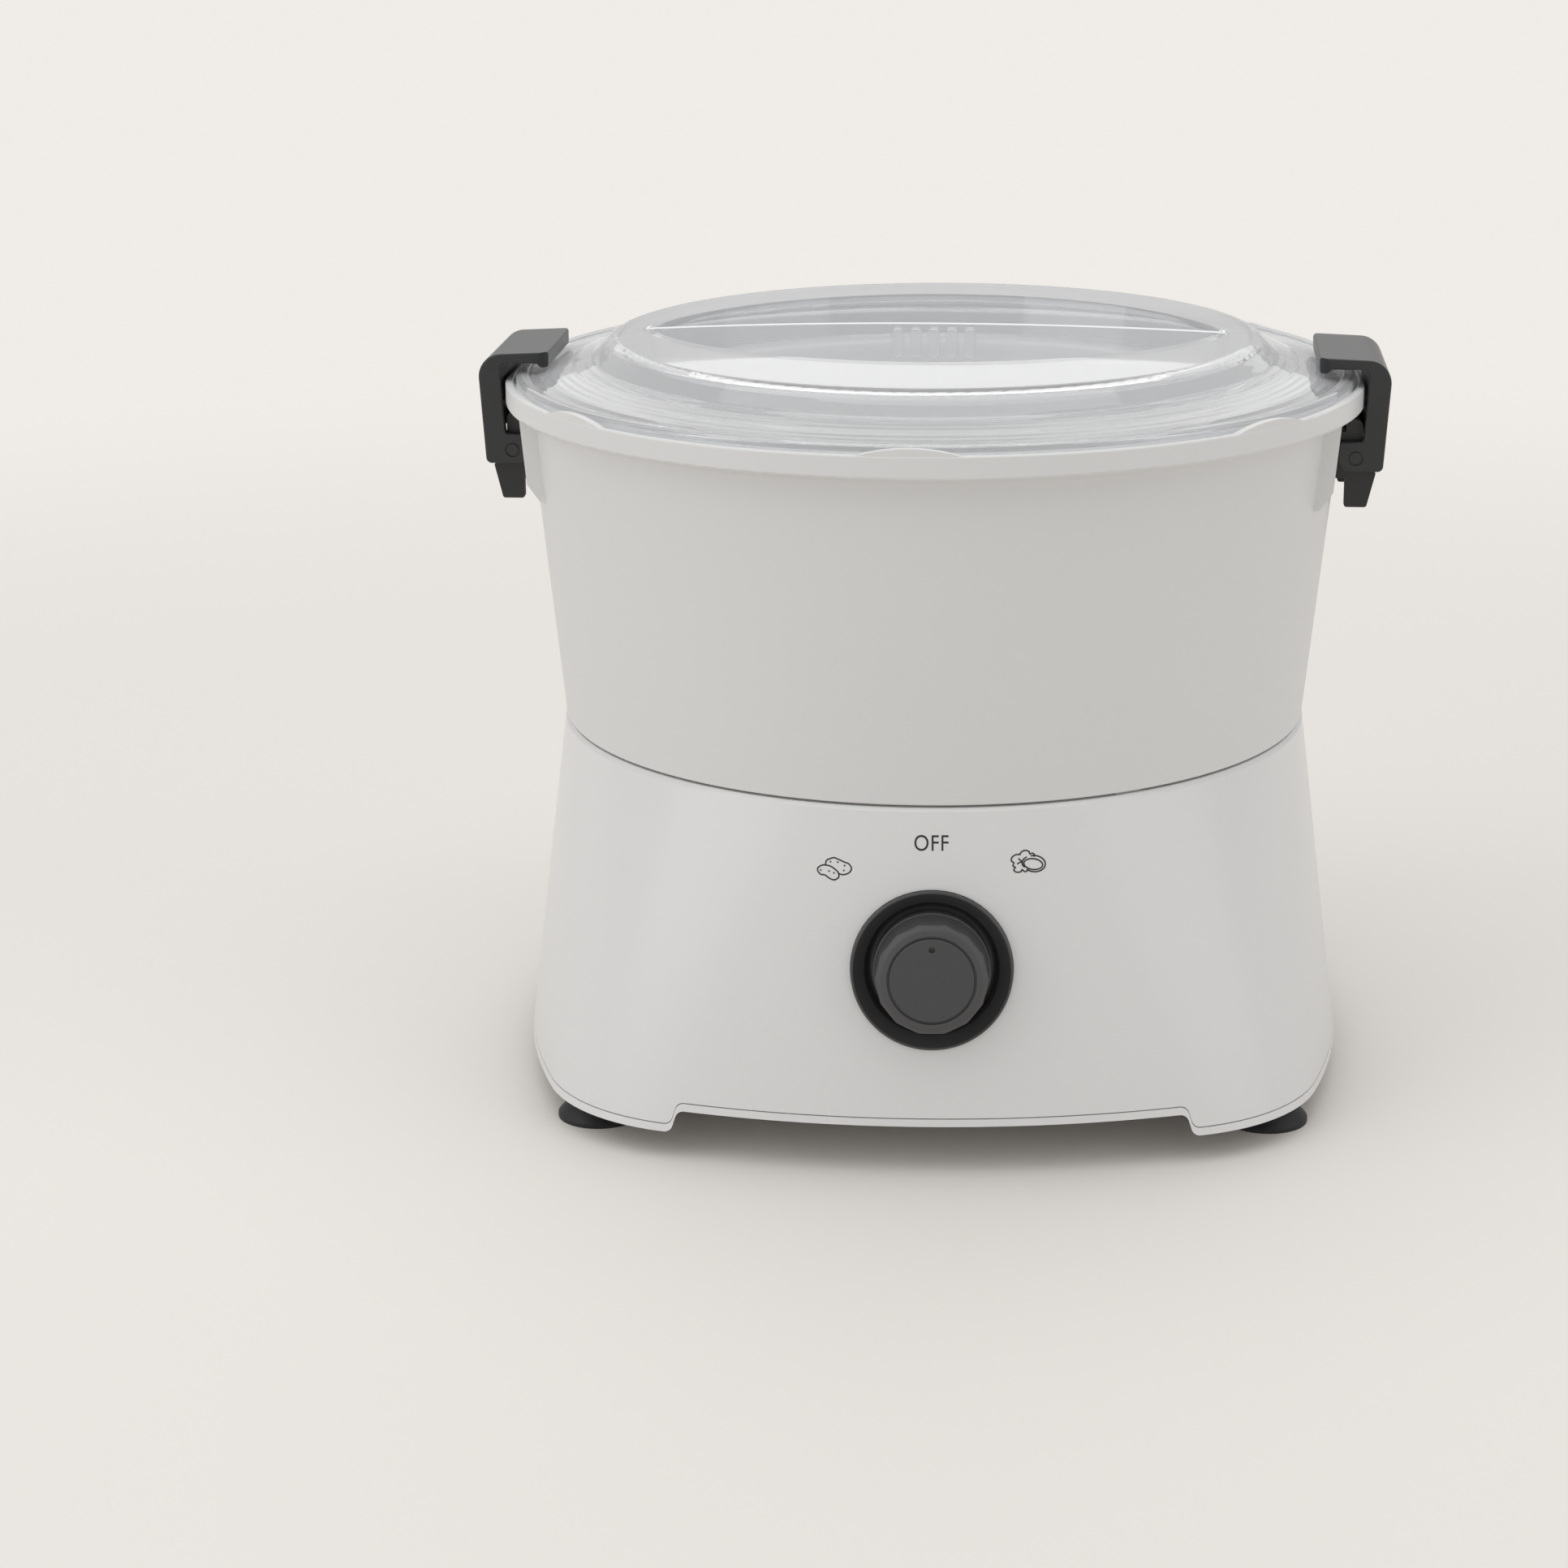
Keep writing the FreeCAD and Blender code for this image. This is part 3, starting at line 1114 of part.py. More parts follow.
def motor_end_caps():
    step_r = MOTOR_R - MOTOR_CAP_STEP
    top = MOTOR_LOW_Z + MOTOR_LENGTH
    bore = MOTOR_SHAFT_R + RUNNING
    lower = revolved([
        (bore, MOTOR_LOW_Z), (step_r, MOTOR_LOW_Z, 2.5), (step_r, MOTOR_LOW_Z + MOTOR_CAP),
        (bore, MOTOR_LOW_Z + MOTOR_CAP)])
    for x in (-MOTOR_SCREW_PLACE, MOTOR_SCREW_PLACE):
        lower = lower.cut(cylinder(SCREW_R + PRESSED, MOTOR_LOW_Z - 1, MOTOR_LOW_Z + MOTOR_CAP - 1, x))
    upper = revolved([
        (0, top - MOTOR_CAP + 1), (bore, top - MOTOR_CAP + 1), (bore, top - MOTOR_CAP),
        (step_r, top - MOTOR_CAP), (step_r, top, 2.5), (MOTOR_NOSE_R, top),
        (MOTOR_NOSE_R, top + MOTOR_NOSE, 1.0), (0, top + MOTOR_NOSE)])
    return at_motor(Part.makeCompound([lower, upper]))


def motor_shaft():
    return at_motor(cylinder(MOTOR_SHAFT_R, MOTOR_SHAFT_LOW_Z, MOTOR_LOW_Z + MOTOR_LENGTH - MOTOR_CAP + 0.6))


def motor_bracket():
    low = MOTOR_LOW_Z - MOUNT_PLATE
    plate = cylinder(MOTOR_R - 1, low, MOTOR_LOW_Z, 0, CENTRE_DISTANCE)
    for x, y in mount_places():
        length = math.hypot(x, y - CENTRE_DISTANCE)
        arm = box(0, length, -MOUNT_EAR_R, MOUNT_EAR_R, low, MOTOR_LOW_Z)
        arm = turned(arm, math.degrees(math.atan2(y - CENTRE_DISTANCE, x)))
        ear = cylinder(MOUNT_EAR_R, low, MOTOR_LOW_Z, x, y)
        plate = plate.fuse(moved(arm, 0, CENTRE_DISTANCE, 0)).fuse(ear)
    plate = plate.cut(cylinder(MOTOR_NOSE_R + 1, low - 1, MOTOR_LOW_Z + 1, 0, CENTRE_DISTANCE))
    for x, y in mount_places():
        plate = plate.cut(cylinder(SCREW_R + 0.2, low - 1, MOTOR_LOW_Z + 1, x, y))
    for x in (-MOTOR_SCREW_PLACE, MOTOR_SCREW_PLACE):
        plate = plate.cut(cylinder(SCREW_R + 0.2, low - 1, MOTOR_LOW_Z + 1, x, CENTRE_DISTANCE))
    return plate.removeSplitter()


# A screw hanging from its head: the shank goes down along Z from the underside of the head.
def hanging_screw(x, y, seat_z, length):
    return turned(screw(x, y, seat_z, length), 180, V(1, 0, 0), V(x, y, seat_z))


def cover_screws():
    return Part.makeCompound([screw(x, y, COVER_PLATE_Z, 12) for x, y in four_corners(POST_X, POST_Y)])


def motor_mount_screws():
    return Part.makeCompound([hanging_screw(x, y, MOTOR_LOW_Z, MOUNT_PLATE + 7) for x, y in mount_places()])


def motor_face_screws():
    low = MOTOR_LOW_Z - MOUNT_PLATE
    places = (-MOTOR_SCREW_PLACE, MOTOR_SCREW_PLACE)
    return Part.makeCompound([screw(x, CENTRE_DISTANCE, low, MOUNT_PLATE + 4.5) for x in places])


def speed_board():
    low = COVER_TOP_Z + BOARD_RISE
    half_x = BOARD_WIDTH / 2
    half_y = BOARD_LENGTH / 2
    board = box(BOARD_X - half_x, BOARD_X + half_x, BOARD_Y - half_y, BOARD_Y + half_y,
                low, low + BOARD_THICK)
    top = low + BOARD_THICK
    triac = box(BOARD_X - 5, BOARD_X + 5, BOARD_Y - 2, BOARD_Y + 3, top, top + 14)
    capacitor = box(BOARD_X - 8, BOARD_X + 8, BOARD_Y + 6, BOARD_Y + 14, top, top + 11)
    coil = cylinder(6, top, top + 10, BOARD_X, BOARD_Y - 12)
    board = fused([board, triac, capacitor, coil])
    for x, y in board_places():
        board = board.cut(cylinder(SCREW_R + 0.2, low - 1, top + 1, x, y))
    return board


def board_screws():
    seat = COVER_TOP_Z + BOARD_RISE + BOARD_THICK
    return Part.makeCompound([hanging_screw(x, y, seat, BOARD_THICK + 5) for x, y in board_places()])


# Peeling disc

def wave(angle):
    arch = Part.makeCylinder(WAVE_R, WAVE_TO - WAVE_FROM, V(WAVE_FROM, 0, 0), V(1, 0, 0))
    arch = moved(arch, 0, 0, DISC_Z + DISC_THICK + WAVE_RISE - WAVE_R)
    keep = box(0, FAR, -FAR, FAR, DISC_Z + 0.5, FAR)
    return turned(arch.common(keep), angle)


def blade_angles():
    step = 360.0 / BLADE_COUNT
    return [step * (k + 0.5) for k in range(BLADE_COUNT)]


def arch_profile(half, rise, thick, low):
    outer_r = (half ** 2 + rise ** 2) / (2 * rise)
    start = BLADE_PLACE - BLADE_LENGTH / 2
    axis_z = low + rise - outer_r
    outer = along_u(outer_r, start, start + BLADE_LENGTH, 0, axis_z)
    inner = along_u(outer_r - thick, start - 1, start + BLADE_LENGTH + 1, 0, axis_z)
    keep = box(0, FAR, -half, half, low, FAR)
    return outer.cut(inner).common(keep)


def disc_blades():
    top = DISC_Z + DISC_THICK
    feet = []
    for side in (-1, 1):
        y = side * (BLADE_HALF + 1.0)
        feet.append(box(BLADE_PLACE - BLADE_LENGTH / 2, BLADE_PLACE + BLADE_LENGTH / 2, y - 1.6, y + 1.6,
                        top, top + BLADE_THICK))
    blade = fused([arch_profile(BLADE_HALF, BLADE_RISE, BLADE_THICK, top)] + feet)
    return Part.makeCompound([turned(blade, angle) for angle in blade_angles()])


def peeling_disc():
    skirt_r = CHIMNEY_R + CHIMNEY_WALL + HUB_WALL_GAP
    top = DISC_Z + DISC_THICK
    plate = revolved([
        (skirt_r, DISC_Z - 2), (HUB_R, DISC_Z - 2), (HUB_R, DISC_Z), (DISC_R, DISC_Z, DISC_EDGE),
        (DISC_R, top, DISC_EDGE), (HUB_R, top, 1.5), (HUB_R, HEX_LOW_Z + HEX_HEIGHT + 1),
        (0, HEX_LOW_Z + HEX_HEIGHT + 1), (0, HEX_LOW_Z - 0.5), (skirt_r, HEX_LOW_Z - 0.5),
    ])
    socket = hexagon(HEX_FLATS + 2 * HEX_FREE, HEX_LOW_Z - 2, HEX_LOW_Z + HEX_HEIGHT + SEAT)
    plate = plate.cut(socket)
    for k in range(WAVE_COUNT):
        plate = plate.fuse(wave(360.0 / WAVE_COUNT * k))
    for angle in blade_angles():
        slot = box(BLADE_PLACE - BLADE_LENGTH / 2 + 2, BLADE_PLACE + BLADE_LENGTH / 2 - 2, -BLADE_HALF + 1.5,
                   BLADE_HALF - 1.5, DISC_Z - 1, top + 1)
        plate = plate.cut(turned(slot, angle))
    return plate.removeSplitter()


def disc_hub_cap():
    low = HEX_LOW_Z + HEX_HEIGHT + 1
    return revolved([(0, low), (HUB_R, low), (HUB_R, HUB_TOP_Z + 3, HUB_ROUND), (0, HUB_TOP_Z + 3)])


def write_parts():
    os.makedirs("parts", exist_ok=True)
    save("base_housing", base_housing())
    save("bottom_cover", bottom_cover())
    for x, y in foot_places():
        word = ("front_" if y < 0 else "back_") + ("left" if x < 0 else "right")
        save("suction_foot_" + word, moved(suction_foot(), x, y, 0))
    save("cover_screws", cover_screws())
    save("cord_gland", cord_gland())
    save("knob_bezel", knob_bezel())
    save("selector_switch", selector_switch())
    save("switch_nut", switch_nut())
    save("knob", knob())
    save("knob_cap", knob_cap())
    save("switch_spindle", switch_spindle())
    save("motor_can", motor_can())
    save("motor_end_caps", motor_end_caps())
    save("motor_shaft", motor_shaft())
    save("motor_pinion", motor_pinion())
    save("motor_bracket", motor_bracket())
    save("motor_mount_screws", motor_mount_screws())
    save("motor_face_screws", motor_face_screws())
    save("drive_shaft", drive_shaft())
    save("drive_gear", drive_gear())
    save("shaft_clip", shaft_clip())
    save("drive_coupling", drive_coupling())
    save("upper_bearing", upper_bearing())
    save("lower_bush", lower_bush())
    save("shaft_seal", shaft_seal())
    save("speed_board", speed_board())
    save("board_screws", board_screws())
    save("bowl", bowl())
    save("lid", lid())
    save("peeling_disc", peeling_disc())
    save("disc_hub_cap", disc_hub_cap())
    save("disc_blades", disc_blades())
    for side, word in ((-1, "left"), (1, "right")):
        save("latch_bracket_" + word, latch_place(latch_bracket(), side))
        save("latch_pin_" + word, latch_place(latch_pin(), side))
        save("latch_hook_" + word, latch_place(latch_hook(), side))
        save("bracket_screws_" + word, latch_place(bracket_screws(), side))


write_parts()
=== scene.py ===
import json
import math

import bpy
import numpy as np
from mathutils import Matrix, Vector
from mathutils.bvhtree import BVHTree


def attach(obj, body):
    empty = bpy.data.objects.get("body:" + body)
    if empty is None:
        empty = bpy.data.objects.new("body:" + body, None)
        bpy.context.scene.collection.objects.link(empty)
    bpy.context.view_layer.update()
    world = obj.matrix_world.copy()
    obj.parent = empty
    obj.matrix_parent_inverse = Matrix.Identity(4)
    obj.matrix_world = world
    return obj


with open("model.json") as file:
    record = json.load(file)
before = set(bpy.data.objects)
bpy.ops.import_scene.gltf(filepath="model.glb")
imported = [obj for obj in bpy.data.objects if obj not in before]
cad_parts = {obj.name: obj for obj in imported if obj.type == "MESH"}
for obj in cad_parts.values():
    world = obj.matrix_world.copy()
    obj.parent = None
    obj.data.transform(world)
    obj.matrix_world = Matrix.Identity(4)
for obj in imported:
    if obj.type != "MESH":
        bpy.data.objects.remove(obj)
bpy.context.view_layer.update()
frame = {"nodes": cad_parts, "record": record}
scene = bpy.context.scene
MM = 0.001

# Camera, as the photograph's: place in metres, angles in degrees, focal length in pixels of the frame.
CAMERA_PLACE = (0.0, -1.0, 0.3734)
CAMERA_YAW = -2.47
CAMERA_PITCH = 16.65
CAMERA_ROLL = -0.51
CAMERA_FOCAL_PX = 4425.4
FRAME_PX = 1932
SENSOR_MM = 36.0
CLIP_START = 0.01

# Marks on the front panel, in mm from the middle of the panel and from the ground
INK_HEIGHT = 0.05
STROKE = 0.38
DOT = 0.24
LETTER_HEIGHT = 4.2
LETTER_SQUEEZE = 0.84
LETTER_SPACING = 1.08
OFF_PLACE = (-0.2, 90.0)
POTATO_PLACE = (-25.5, 82.3)
SALAD_PLACE = (25.1, 84.2)
IN_FRONT = -300.0

# Every moulded surface: how much its sheen varies, and its coat and grain
SHEEN_VARIES = 0.08
COAT_ROUGHNESS = 0.08
GRAIN_DETAIL = 2.0
GRAIN_DEPTH = 0.0004

# Clear plastic of the lid
CLEAR_LOW = (0.955, 0.957, 0.96, 1.0)
CLEAR_HIGH = (0.965, 0.967, 0.97, 1.0)
CLEAR_PATCH = 6.0
CLEAR_SMOOTH = 0.02
CLEAR_DULL = 0.04
CLEAR_TRANSMISSION = 0.9
CLEAR_IOR = 1.3
CLEAR_COAT = 0.35
CLEAR_COAT_ROUGHNESS = 0.03
CLEAR_SHADOW = (0.93, 0.94, 0.95, 1.0)
# Grey laid on where the lid is seen edge on: partly haze, partly painted shade along its rims, ribs and
# fin
HAZE_AND_SHADE_COLOUR = (0.68, 0.685, 0.70, 1.0)
HAZE_AND_SHADE_FROM = 0.55
HAZE_AND_SHADE_MOST = 0.42

# Turning lines of the lid's mould, outside the radius from which they start, in metres
LINES_PER_METRE = 480.0
RINGS_PER_SCALE = 3.2
LINES_FROM = 0.088
LINES_FULL_AT = 0.092
LINES_STRENGTH = 0.06
LINES_DEPTH = 0.0003

# Fin across the lid's recess, in metres from the lid's axis, and the ribs on its faces
FIN_TURN = math.radians(-3.0)
FIN_END = 0.081
FIN_HALF = 0.0014
RIB_REACH = 0.0023
FIN_MARGIN = 0.0002
# Painted highlight on the fin: its colour, and how much of it is laid on the fin's faces, its ribs and
# its upward-facing edge
FIN_HIGHLIGHT_COLOUR = (0.86, 0.87, 0.88, 1.0)
FIN_FACE_LIGHT = 0.14
FIN_RIB_LIGHT = 0.36
FIN_EDGE_LIGHT = 0.8
FACES_UP = 0.7

# Floor and the backdrop that it fades into, in metres from the object
FLOOR_HALF = 8.0
FLOOR_COLOUR = (0.80, 0.77, 0.735)
BACKDROP_COLOUR = (0.87, 0.84, 0.80)
FADE_FROM = 0.35
FADE_TO = 1.1

# Light: the world, and each lamp's name, place, aim, width, height and watts
WORLD_COLOUR = (1.0, 0.99, 0.975, 1.0)
WORLD_STRENGTH = 0.55
LAMPS = (
    ("light_top", (-0.1, -0.1, 1.4), (0, 0, 0.1), 1.8, 1.8, 8.5),
    ("light_left", (-1.4, -0.8, 0.9), (0, 0, 0.1), 1.4, 1.6, 7.5),
    ("light_right", (1.4, -0.7, 0.8), (0, 0, 0.1), 1.4, 1.6, 4.6),
    ("light_back", (0.1, 1.2, 0.9), (0, 0, 0.2), 1.6, 0.8, 2.6),
)


# Materials

def new_material(name):
    material = bpy.data.materials.new(name)
    material.use_nodes = True
    nodes = material.node_tree.nodes
    return material, nodes, material.node_tree.links, nodes["Principled BSDF"]


def noise(nodes, links, scale, detail=3.0):
    place = nodes.new("ShaderNodeTexCoord")
    texture = nodes.new("ShaderNodeTexNoise")
    texture.inputs["Scale"].default_value = scale
    texture.inputs["Detail"].default_value = detail
    links.new(place.outputs["Object"], texture.inputs["Vector"])
    return texture


def ramp(nodes, links, source, low, high, start=0.1, end=0.9):
    node = nodes.new("ShaderNodeValToRGB")
    node.color_ramp.elements[0].position = start
    node.color_ramp.elements[1].position = end
    node.color_ramp.elements[0].color = low
    node.color_ramp.elements[1].color = high
    links.new(source, node.inputs["Fac"])
    return node


def grey_level(value):
    return (value, value, value, 1.0)


def calculated(nodes, links, operation, first, second=0.0):
    node = nodes.new("ShaderNodeMath")
    node.operation = operation
    for socket, value in zip(node.inputs, (first, second)):
        if isinstance(value, float):
            socket.default_value = value
        else:
            links.new(value, socket)
    return node.outputs["Value"]


# The second shader laid over the first by a share from 0 to 1.
def mixed(nodes, links, share, first, second):
    mix = nodes.new("ShaderNodeMixShader")
    links.new(share, mix.inputs["Fac"])
    links.new(first, mix.inputs[1])
    links.new(second, mix.inputs[2])
    return mix.outputs["Shader"]


def diffuse(nodes, colour):
    shader = nodes.new("ShaderNodeBsdfDiffuse")
    shader.inputs["Color"].default_value = colour
    return shader.outputs["BSDF"]


def bumped(nodes, links, shader, height, strength, depth):
    relief = nodes.new("ShaderNodeBump")
    relief.inputs["Strength"].default_value = strength
    relief.inputs["Distance"].default_value = depth
    links.new(height, relief.inputs["Height"])
    links.new(relief.outputs["Normal"], shader.inputs["Normal"])
    return relief.outputs["Normal"]


# A moulded or rolled surface: its colour varies softly, and its grain is a fine bump.
def surface(name, colour, rough, vary=0.02, patch=18.0, grain=900.0, bump=0.03,
            metallic=0.0, coat=0.0):
    material, nodes, links, shader = new_material(name)
    low = tuple(max(0.0, c * (1 - vary)) for c in colour) + (1.0,)
    high = tuple(min(1.0, c * (1 + vary)) for c in colour) + (1.0,)
    smooth = grey_level(rough * (1 - SHEEN_VARIES))
    dull = grey_level(min(1.0, rough * (1 + SHEEN_VARIES)))
    mottle = noise(nodes, links, patch).outputs["Fac"]
    tint = ramp(nodes, links, mottle, low, high)
    links.new(tint.outputs["Color"], shader.inputs["Base Color"])
    sheen = ramp(nodes, links, mottle, smooth, dull)
    links.new(sheen.outputs["Color"], shader.inputs["Roughness"])
    shader.inputs["Metallic"].default_value = metallic
    shader.inputs["Coat Weight"].default_value = coat
    shader.inputs["Coat Roughness"].default_value = COAT_ROUGHNESS
    fine = noise(nodes, links, grain, GRAIN_DETAIL)
    bumped(nodes, links, shader, fine.outputs["Fac"], bump, GRAIN_DEPTH)
    return material


# Clear moulding with thin walls: light passes almost straight, and the gloss is a coat.
def clear_plastic(name):
    material, nodes, links, shader = new_material(name)
    mottle = noise(nodes, links, CLEAR_PATCH).outputs["Fac"]
    tint = ramp(nodes, links, mottle, CLEAR_LOW, CLEAR_HIGH)
    links.new(tint.outputs["Color"], shader.inputs["Base Color"])
    film = ramp(nodes, links, mottle, grey_level(CLEAR_SMOOTH), grey_level(CLEAR_DULL))
    links.new(film.outputs["Color"], shader.inputs["Roughness"])
    shader.inputs["Transmission Weight"].default_value = CLEAR_TRANSMISSION
    shader.inputs["IOR"].default_value = CLEAR_IOR
    shader.inputs["Coat Weight"].default_value = CLEAR_COAT
    shader.inputs["Coat Roughness"].default_value = CLEAR_COAT_ROUGHNESS
    turned_lines(nodes, links, shader)
    hazed_and_shaded = edge_haze_and_shade(nodes, links, shader)
    pass_light(nodes, links, painted_fin_highlight(nodes, links, hazed_and_shaded))
    return material


# Fine turning lines of the mould, round the lid's axis and only outside its raised middle.
def turned_lines(nodes, links, shader):
    place = nodes.new("ShaderNodeTexCoord")
    flat = nodes.new("ShaderNodeVectorMath")
    flat.operation = "MULTIPLY"
    flat.inputs[1].default_value = (1.0, 1.0, 0.0)
    links.new(place.outputs["Object"], flat.inputs[0])
    reach = nodes.new("ShaderNodeVectorMath")
    reach.operation = "LENGTH"
    links.new(flat.outputs["Vector"], reach.inputs[0])
    lines = nodes.new("ShaderNodeTexWave")
    lines.wave_type = "RINGS"
    lines.rings_direction = "Z"
    lines.inputs["Scale"].default_value = LINES_PER_METRE / RINGS_PER_SCALE
    lines.inputs["Distortion"].default_value = 0.0
    links.new(flat.outputs["Vector"], lines.inputs["Vector"])
    share = nodes.new("ShaderNodeMapRange")
    share.inputs["From Min"].default_value = LINES_FROM
    share.inputs["From Max"].default_value = LINES_FULL_AT
    links.new(reach.outputs["Value"], share.inputs["Value"])
    height = calculated(nodes, links, "MULTIPLY", lines.outputs["Fac"], share.outputs["Result"])
    normal = bumped(nodes, links, shader, height, LINES_STRENGTH, LINES_DEPTH)
    links.new(normal, shader.inputs["Coat Normal"])


# Thin mouldings look greyer where they are seen edge on: partly the plastic's haze, partly painted
# shade that draws their rims, ribs and fin.
def edge_haze_and_shade(nodes, links, shader):
    edge = nodes.new("ShaderNodeLayerWeight")
    edge.inputs["Blend"].default_value = 0.5
    share = ramp(nodes, links, edge.outputs["Facing"], grey_level(0.0), grey_level(HAZE_AND_SHADE_MOST),
                 HAZE_AND_SHADE_FROM, 1.0)
    haze_and_shade = diffuse(nodes, HAZE_AND_SHADE_COLOUR)
    return mixed(nodes, links, share.outputs["Color"], shader.outputs["BSDF"], haze_and_shade)


# Painted highlight: the fin is drawn lighter than the lid around it, most on its upward-facing edge,
# then on its ribs, least on its faces.
def painted_fin_highlight(nodes, links, surface_shader):
    place = nodes.new("ShaderNodeTexCoord")
    turned = nodes.new("ShaderNodeVectorRotate")
    turned.rotation_type = "Z_AXIS"
    turned.inputs["Angle"].default_value = -FIN_TURN
    links.new(place.outputs["Object"], turned.inputs["Vector"])
    along = nodes.new("ShaderNodeSeparateXYZ")
    links.new(turned.outputs["Vector"], along.inputs["Vector"])
    facing = nodes.new("ShaderNodeSeparateXYZ")
    links.new(place.outputs["Normal"], facing.inputs["Vector"])
    length = calculated(nodes, links, "ABSOLUTE", along.outputs["X"])
    depth = calculated(nodes, links, "ABSOLUTE", along.outputs["Y"])
    within = calculated(nodes, links, "LESS_THAN", length, FIN_END)
    near = calculated(nodes, links, "LESS_THAN", depth, RIB_REACH + FIN_MARGIN)
    rib = calculated(nodes, links, "GREATER_THAN", depth, FIN_HALF + FIN_MARGIN)
    edge = calculated(nodes, links, "GREATER_THAN", facing.outputs["Z"], FACES_UP)
    lit_rib = calculated(nodes, links, "MULTIPLY", rib, FIN_RIB_LIGHT)
    lit_edge = calculated(nodes, links, "MULTIPLY", edge, FIN_EDGE_LIGHT)
    lit = calculated(nodes, links, "ADD", lit_rib, lit_edge)
    level = calculated(nodes, links, "ADD", lit, FIN_FACE_LIGHT)
    on_fin = calculated(nodes, links, "MULTIPLY", within, near)
    share = calculated(nodes, links, "MULTIPLY", on_fin, level)
    return mixed(nodes, links, share, surface_shader, diffuse(nodes, FIN_HIGHLIGHT_COLOUR))


# Lets lamps shine through a clear piece, so that what stands under it is lit.
def pass_light(nodes, links, surface_shader):
    rays = nodes.new("ShaderNodeLightPath")
    through = nodes.new("ShaderNodeBsdfTransparent")
    through.inputs["Color"].default_value = CLEAR_SHADOW
    lit_by = calculated(nodes, links, "MAXIMUM", rays.outputs["Is Shadow Ray"],
                        rays.outputs["Is Diffuse Ray"])
    whole = mixed(nodes, links, lit_by, surface_shader, through.outputs["BSDF"])
    links.new(whole, nodes["Material Output"].inputs["Surface"])


FINISHES = {
    "white_plastic": surface("white_plastic_finish", (0.70, 0.70, 0.70), 0.28, vary=0.008, bump=0.015,
                             coat=0.15),
    "bowl_white": surface("bowl_white_finish", (0.68, 0.68, 0.68), 0.40, vary=0.008, bump=0.02),
    "clear_plastic": clear_plastic("clear_plastic_finish"),
    "knob_grey": surface("knob_grey_finish", (0.058, 0.058, 0.06), 0.42, vary=0.05, bump=0.04),
    "cap_grey": surface("cap_grey_finish", (0.052, 0.052, 0.054), 0.5, vary=0.05, bump=0.06),
    "bezel_grey": surface("bezel_grey_finish", (0.05, 0.05, 0.052), 0.34, vary=0.05, bump=0.03),
    "latch_grey": surface("latch_grey_finish", (0.018, 0.019, 0.02), 0.3, vary=0.06, bump=0.06),
    "bracket_black": surface("bracket_black_finish", (0.014, 0.014, 0.015), 0.42, vary=0.08, bump=0.05),
    "black_plastic": surface("black_plastic_finish", (0.03, 0.03, 0.03), 0.5, vary=0.08, bump=0.05),
    "rubber": surface("rubber_finish", (0.012, 0.012, 0.013), 0.55, vary=0.15, bump=0.08),
    "steel": surface("steel_finish", (0.62, 0.62, 0.63), 0.28, vary=0.05, bump=0.03, metallic=1.0),
    "motor_steel": surface("motor_steel_finish", (0.5, 0.51, 0.53), 0.36, vary=0.06, bump=0.04,
                           metallic=1.0),
    "brass": surface("brass_finish", (0.72, 0.53, 0.24), 0.3, vary=0.06, bump=0.03, metallic=1.0),
    "gear_plastic": surface("gear_plastic_finish", (0.74, 0.72, 0.66), 0.45, vary=0.02, bump=0.03),
    "board_green": surface("board_green_finish", (0.03, 0.2, 0.07), 0.3, vary=0.12, patch=120.0,
                           bump=0.05),
    "disc_grey": surface("disc_grey_finish", (0.6, 0.6, 0.6), 0.6, vary=0.08, patch=900.0,
                         grain=1600.0, bump=0.6),
    "hub_grey": surface("hub_grey_finish", (0.55, 0.55, 0.55), 0.45, vary=0.04, bump=0.05),
}
INK = surface("ink_finish", (0.015, 0.015, 0.016), 0.45, vary=0.2, patch=900.0, bump=0.05)


def dress_nodes():
    slots = {s["node"]: s["material_slot"] for s in frame["record"]["subparts"]}
    for name, node in frame["nodes"].items():
        node.data.materials.clear()
        node.data.materials.append(FINISHES[slots[name]])


# Marks: flat shapes drawn in mm on the panel's plan, then laid on the housing

def housing_tree():
    mesh = frame["nodes"]["base_housing"].data
    points = [v.co.copy() for v in mesh.vertices]
    return BVHTree.FromPolygons(points, [tuple(p.vertices) for p in mesh.polygons])


# The place on the housing straight behind a point of the plan, raised by a little.
def on_panel(tree, x, z, lift):
    start = Vector((x * MM, IN_FRONT * MM, z * MM))
    hit, normal, _, _ = tree.ray_cast(start, Vector((0, 1, 0)))
    if normal.y > 0:
        normal = -normal
    return hit + normal * lift * MM


# A Catmull-Rom curve through the points.
def smooth_line(points, closed, steps=6):
    count = len(points)
    line = []
    spans = count if closed else count - 1
    for i in range(spans):
        if closed:
            around = [points[(i + k) % count] for k in (-1, 0, 1, 2)]
        else:
            around = [points[min(max(i + k, 0), count - 1)] for k in (-1, 0, 1, 2)]
        a, b, c, d = [np.array(p, float) for p in around]
        for s in range(steps):
            t = s / steps
            line.append(0.5 * (2 * b + (c - a) * t + (2 * a - 5 * b + 4 * c - d) * t * t
                               + (3 * b - 3 * c + d - a) * t ** 3))
    if not closed:
        line.append(np.array(points[-1], float))
    return line


# The faces of a stroke of even width along a line, as corners in mm.
def stroke_shape(line, closed, width):
    count = len(line)
    corners = []
    faces = []
    for i in range(count):
        back = line[(i - 1) % count] if closed or i > 0 else line[i]
        ahead = line[(i + 1) % count] if closed or i < count - 1 else line[i]
        run = ahead - back
        side = np.array((-run[1], run[0])) / max(np.linalg.norm(run), 1e-9) * width / 2
        corners += [line[i] + side, line[i] - side]
    for i in range(count if closed else count - 1):
        j = (i + 1) % count
        faces.append((2 * i, 2 * i + 1, 2 * j + 1, 2 * j))
    return corners, faces


def dot_shape(x, z, radius, sides=10):
    turn = 2 * math.pi / sides
    corners = []
    for k in range(sides):
        corners.append(np.array((x + radius * math.cos(turn * k), z + radius * math.sin(turn * k))))
    return corners, [tuple(range(sides))]


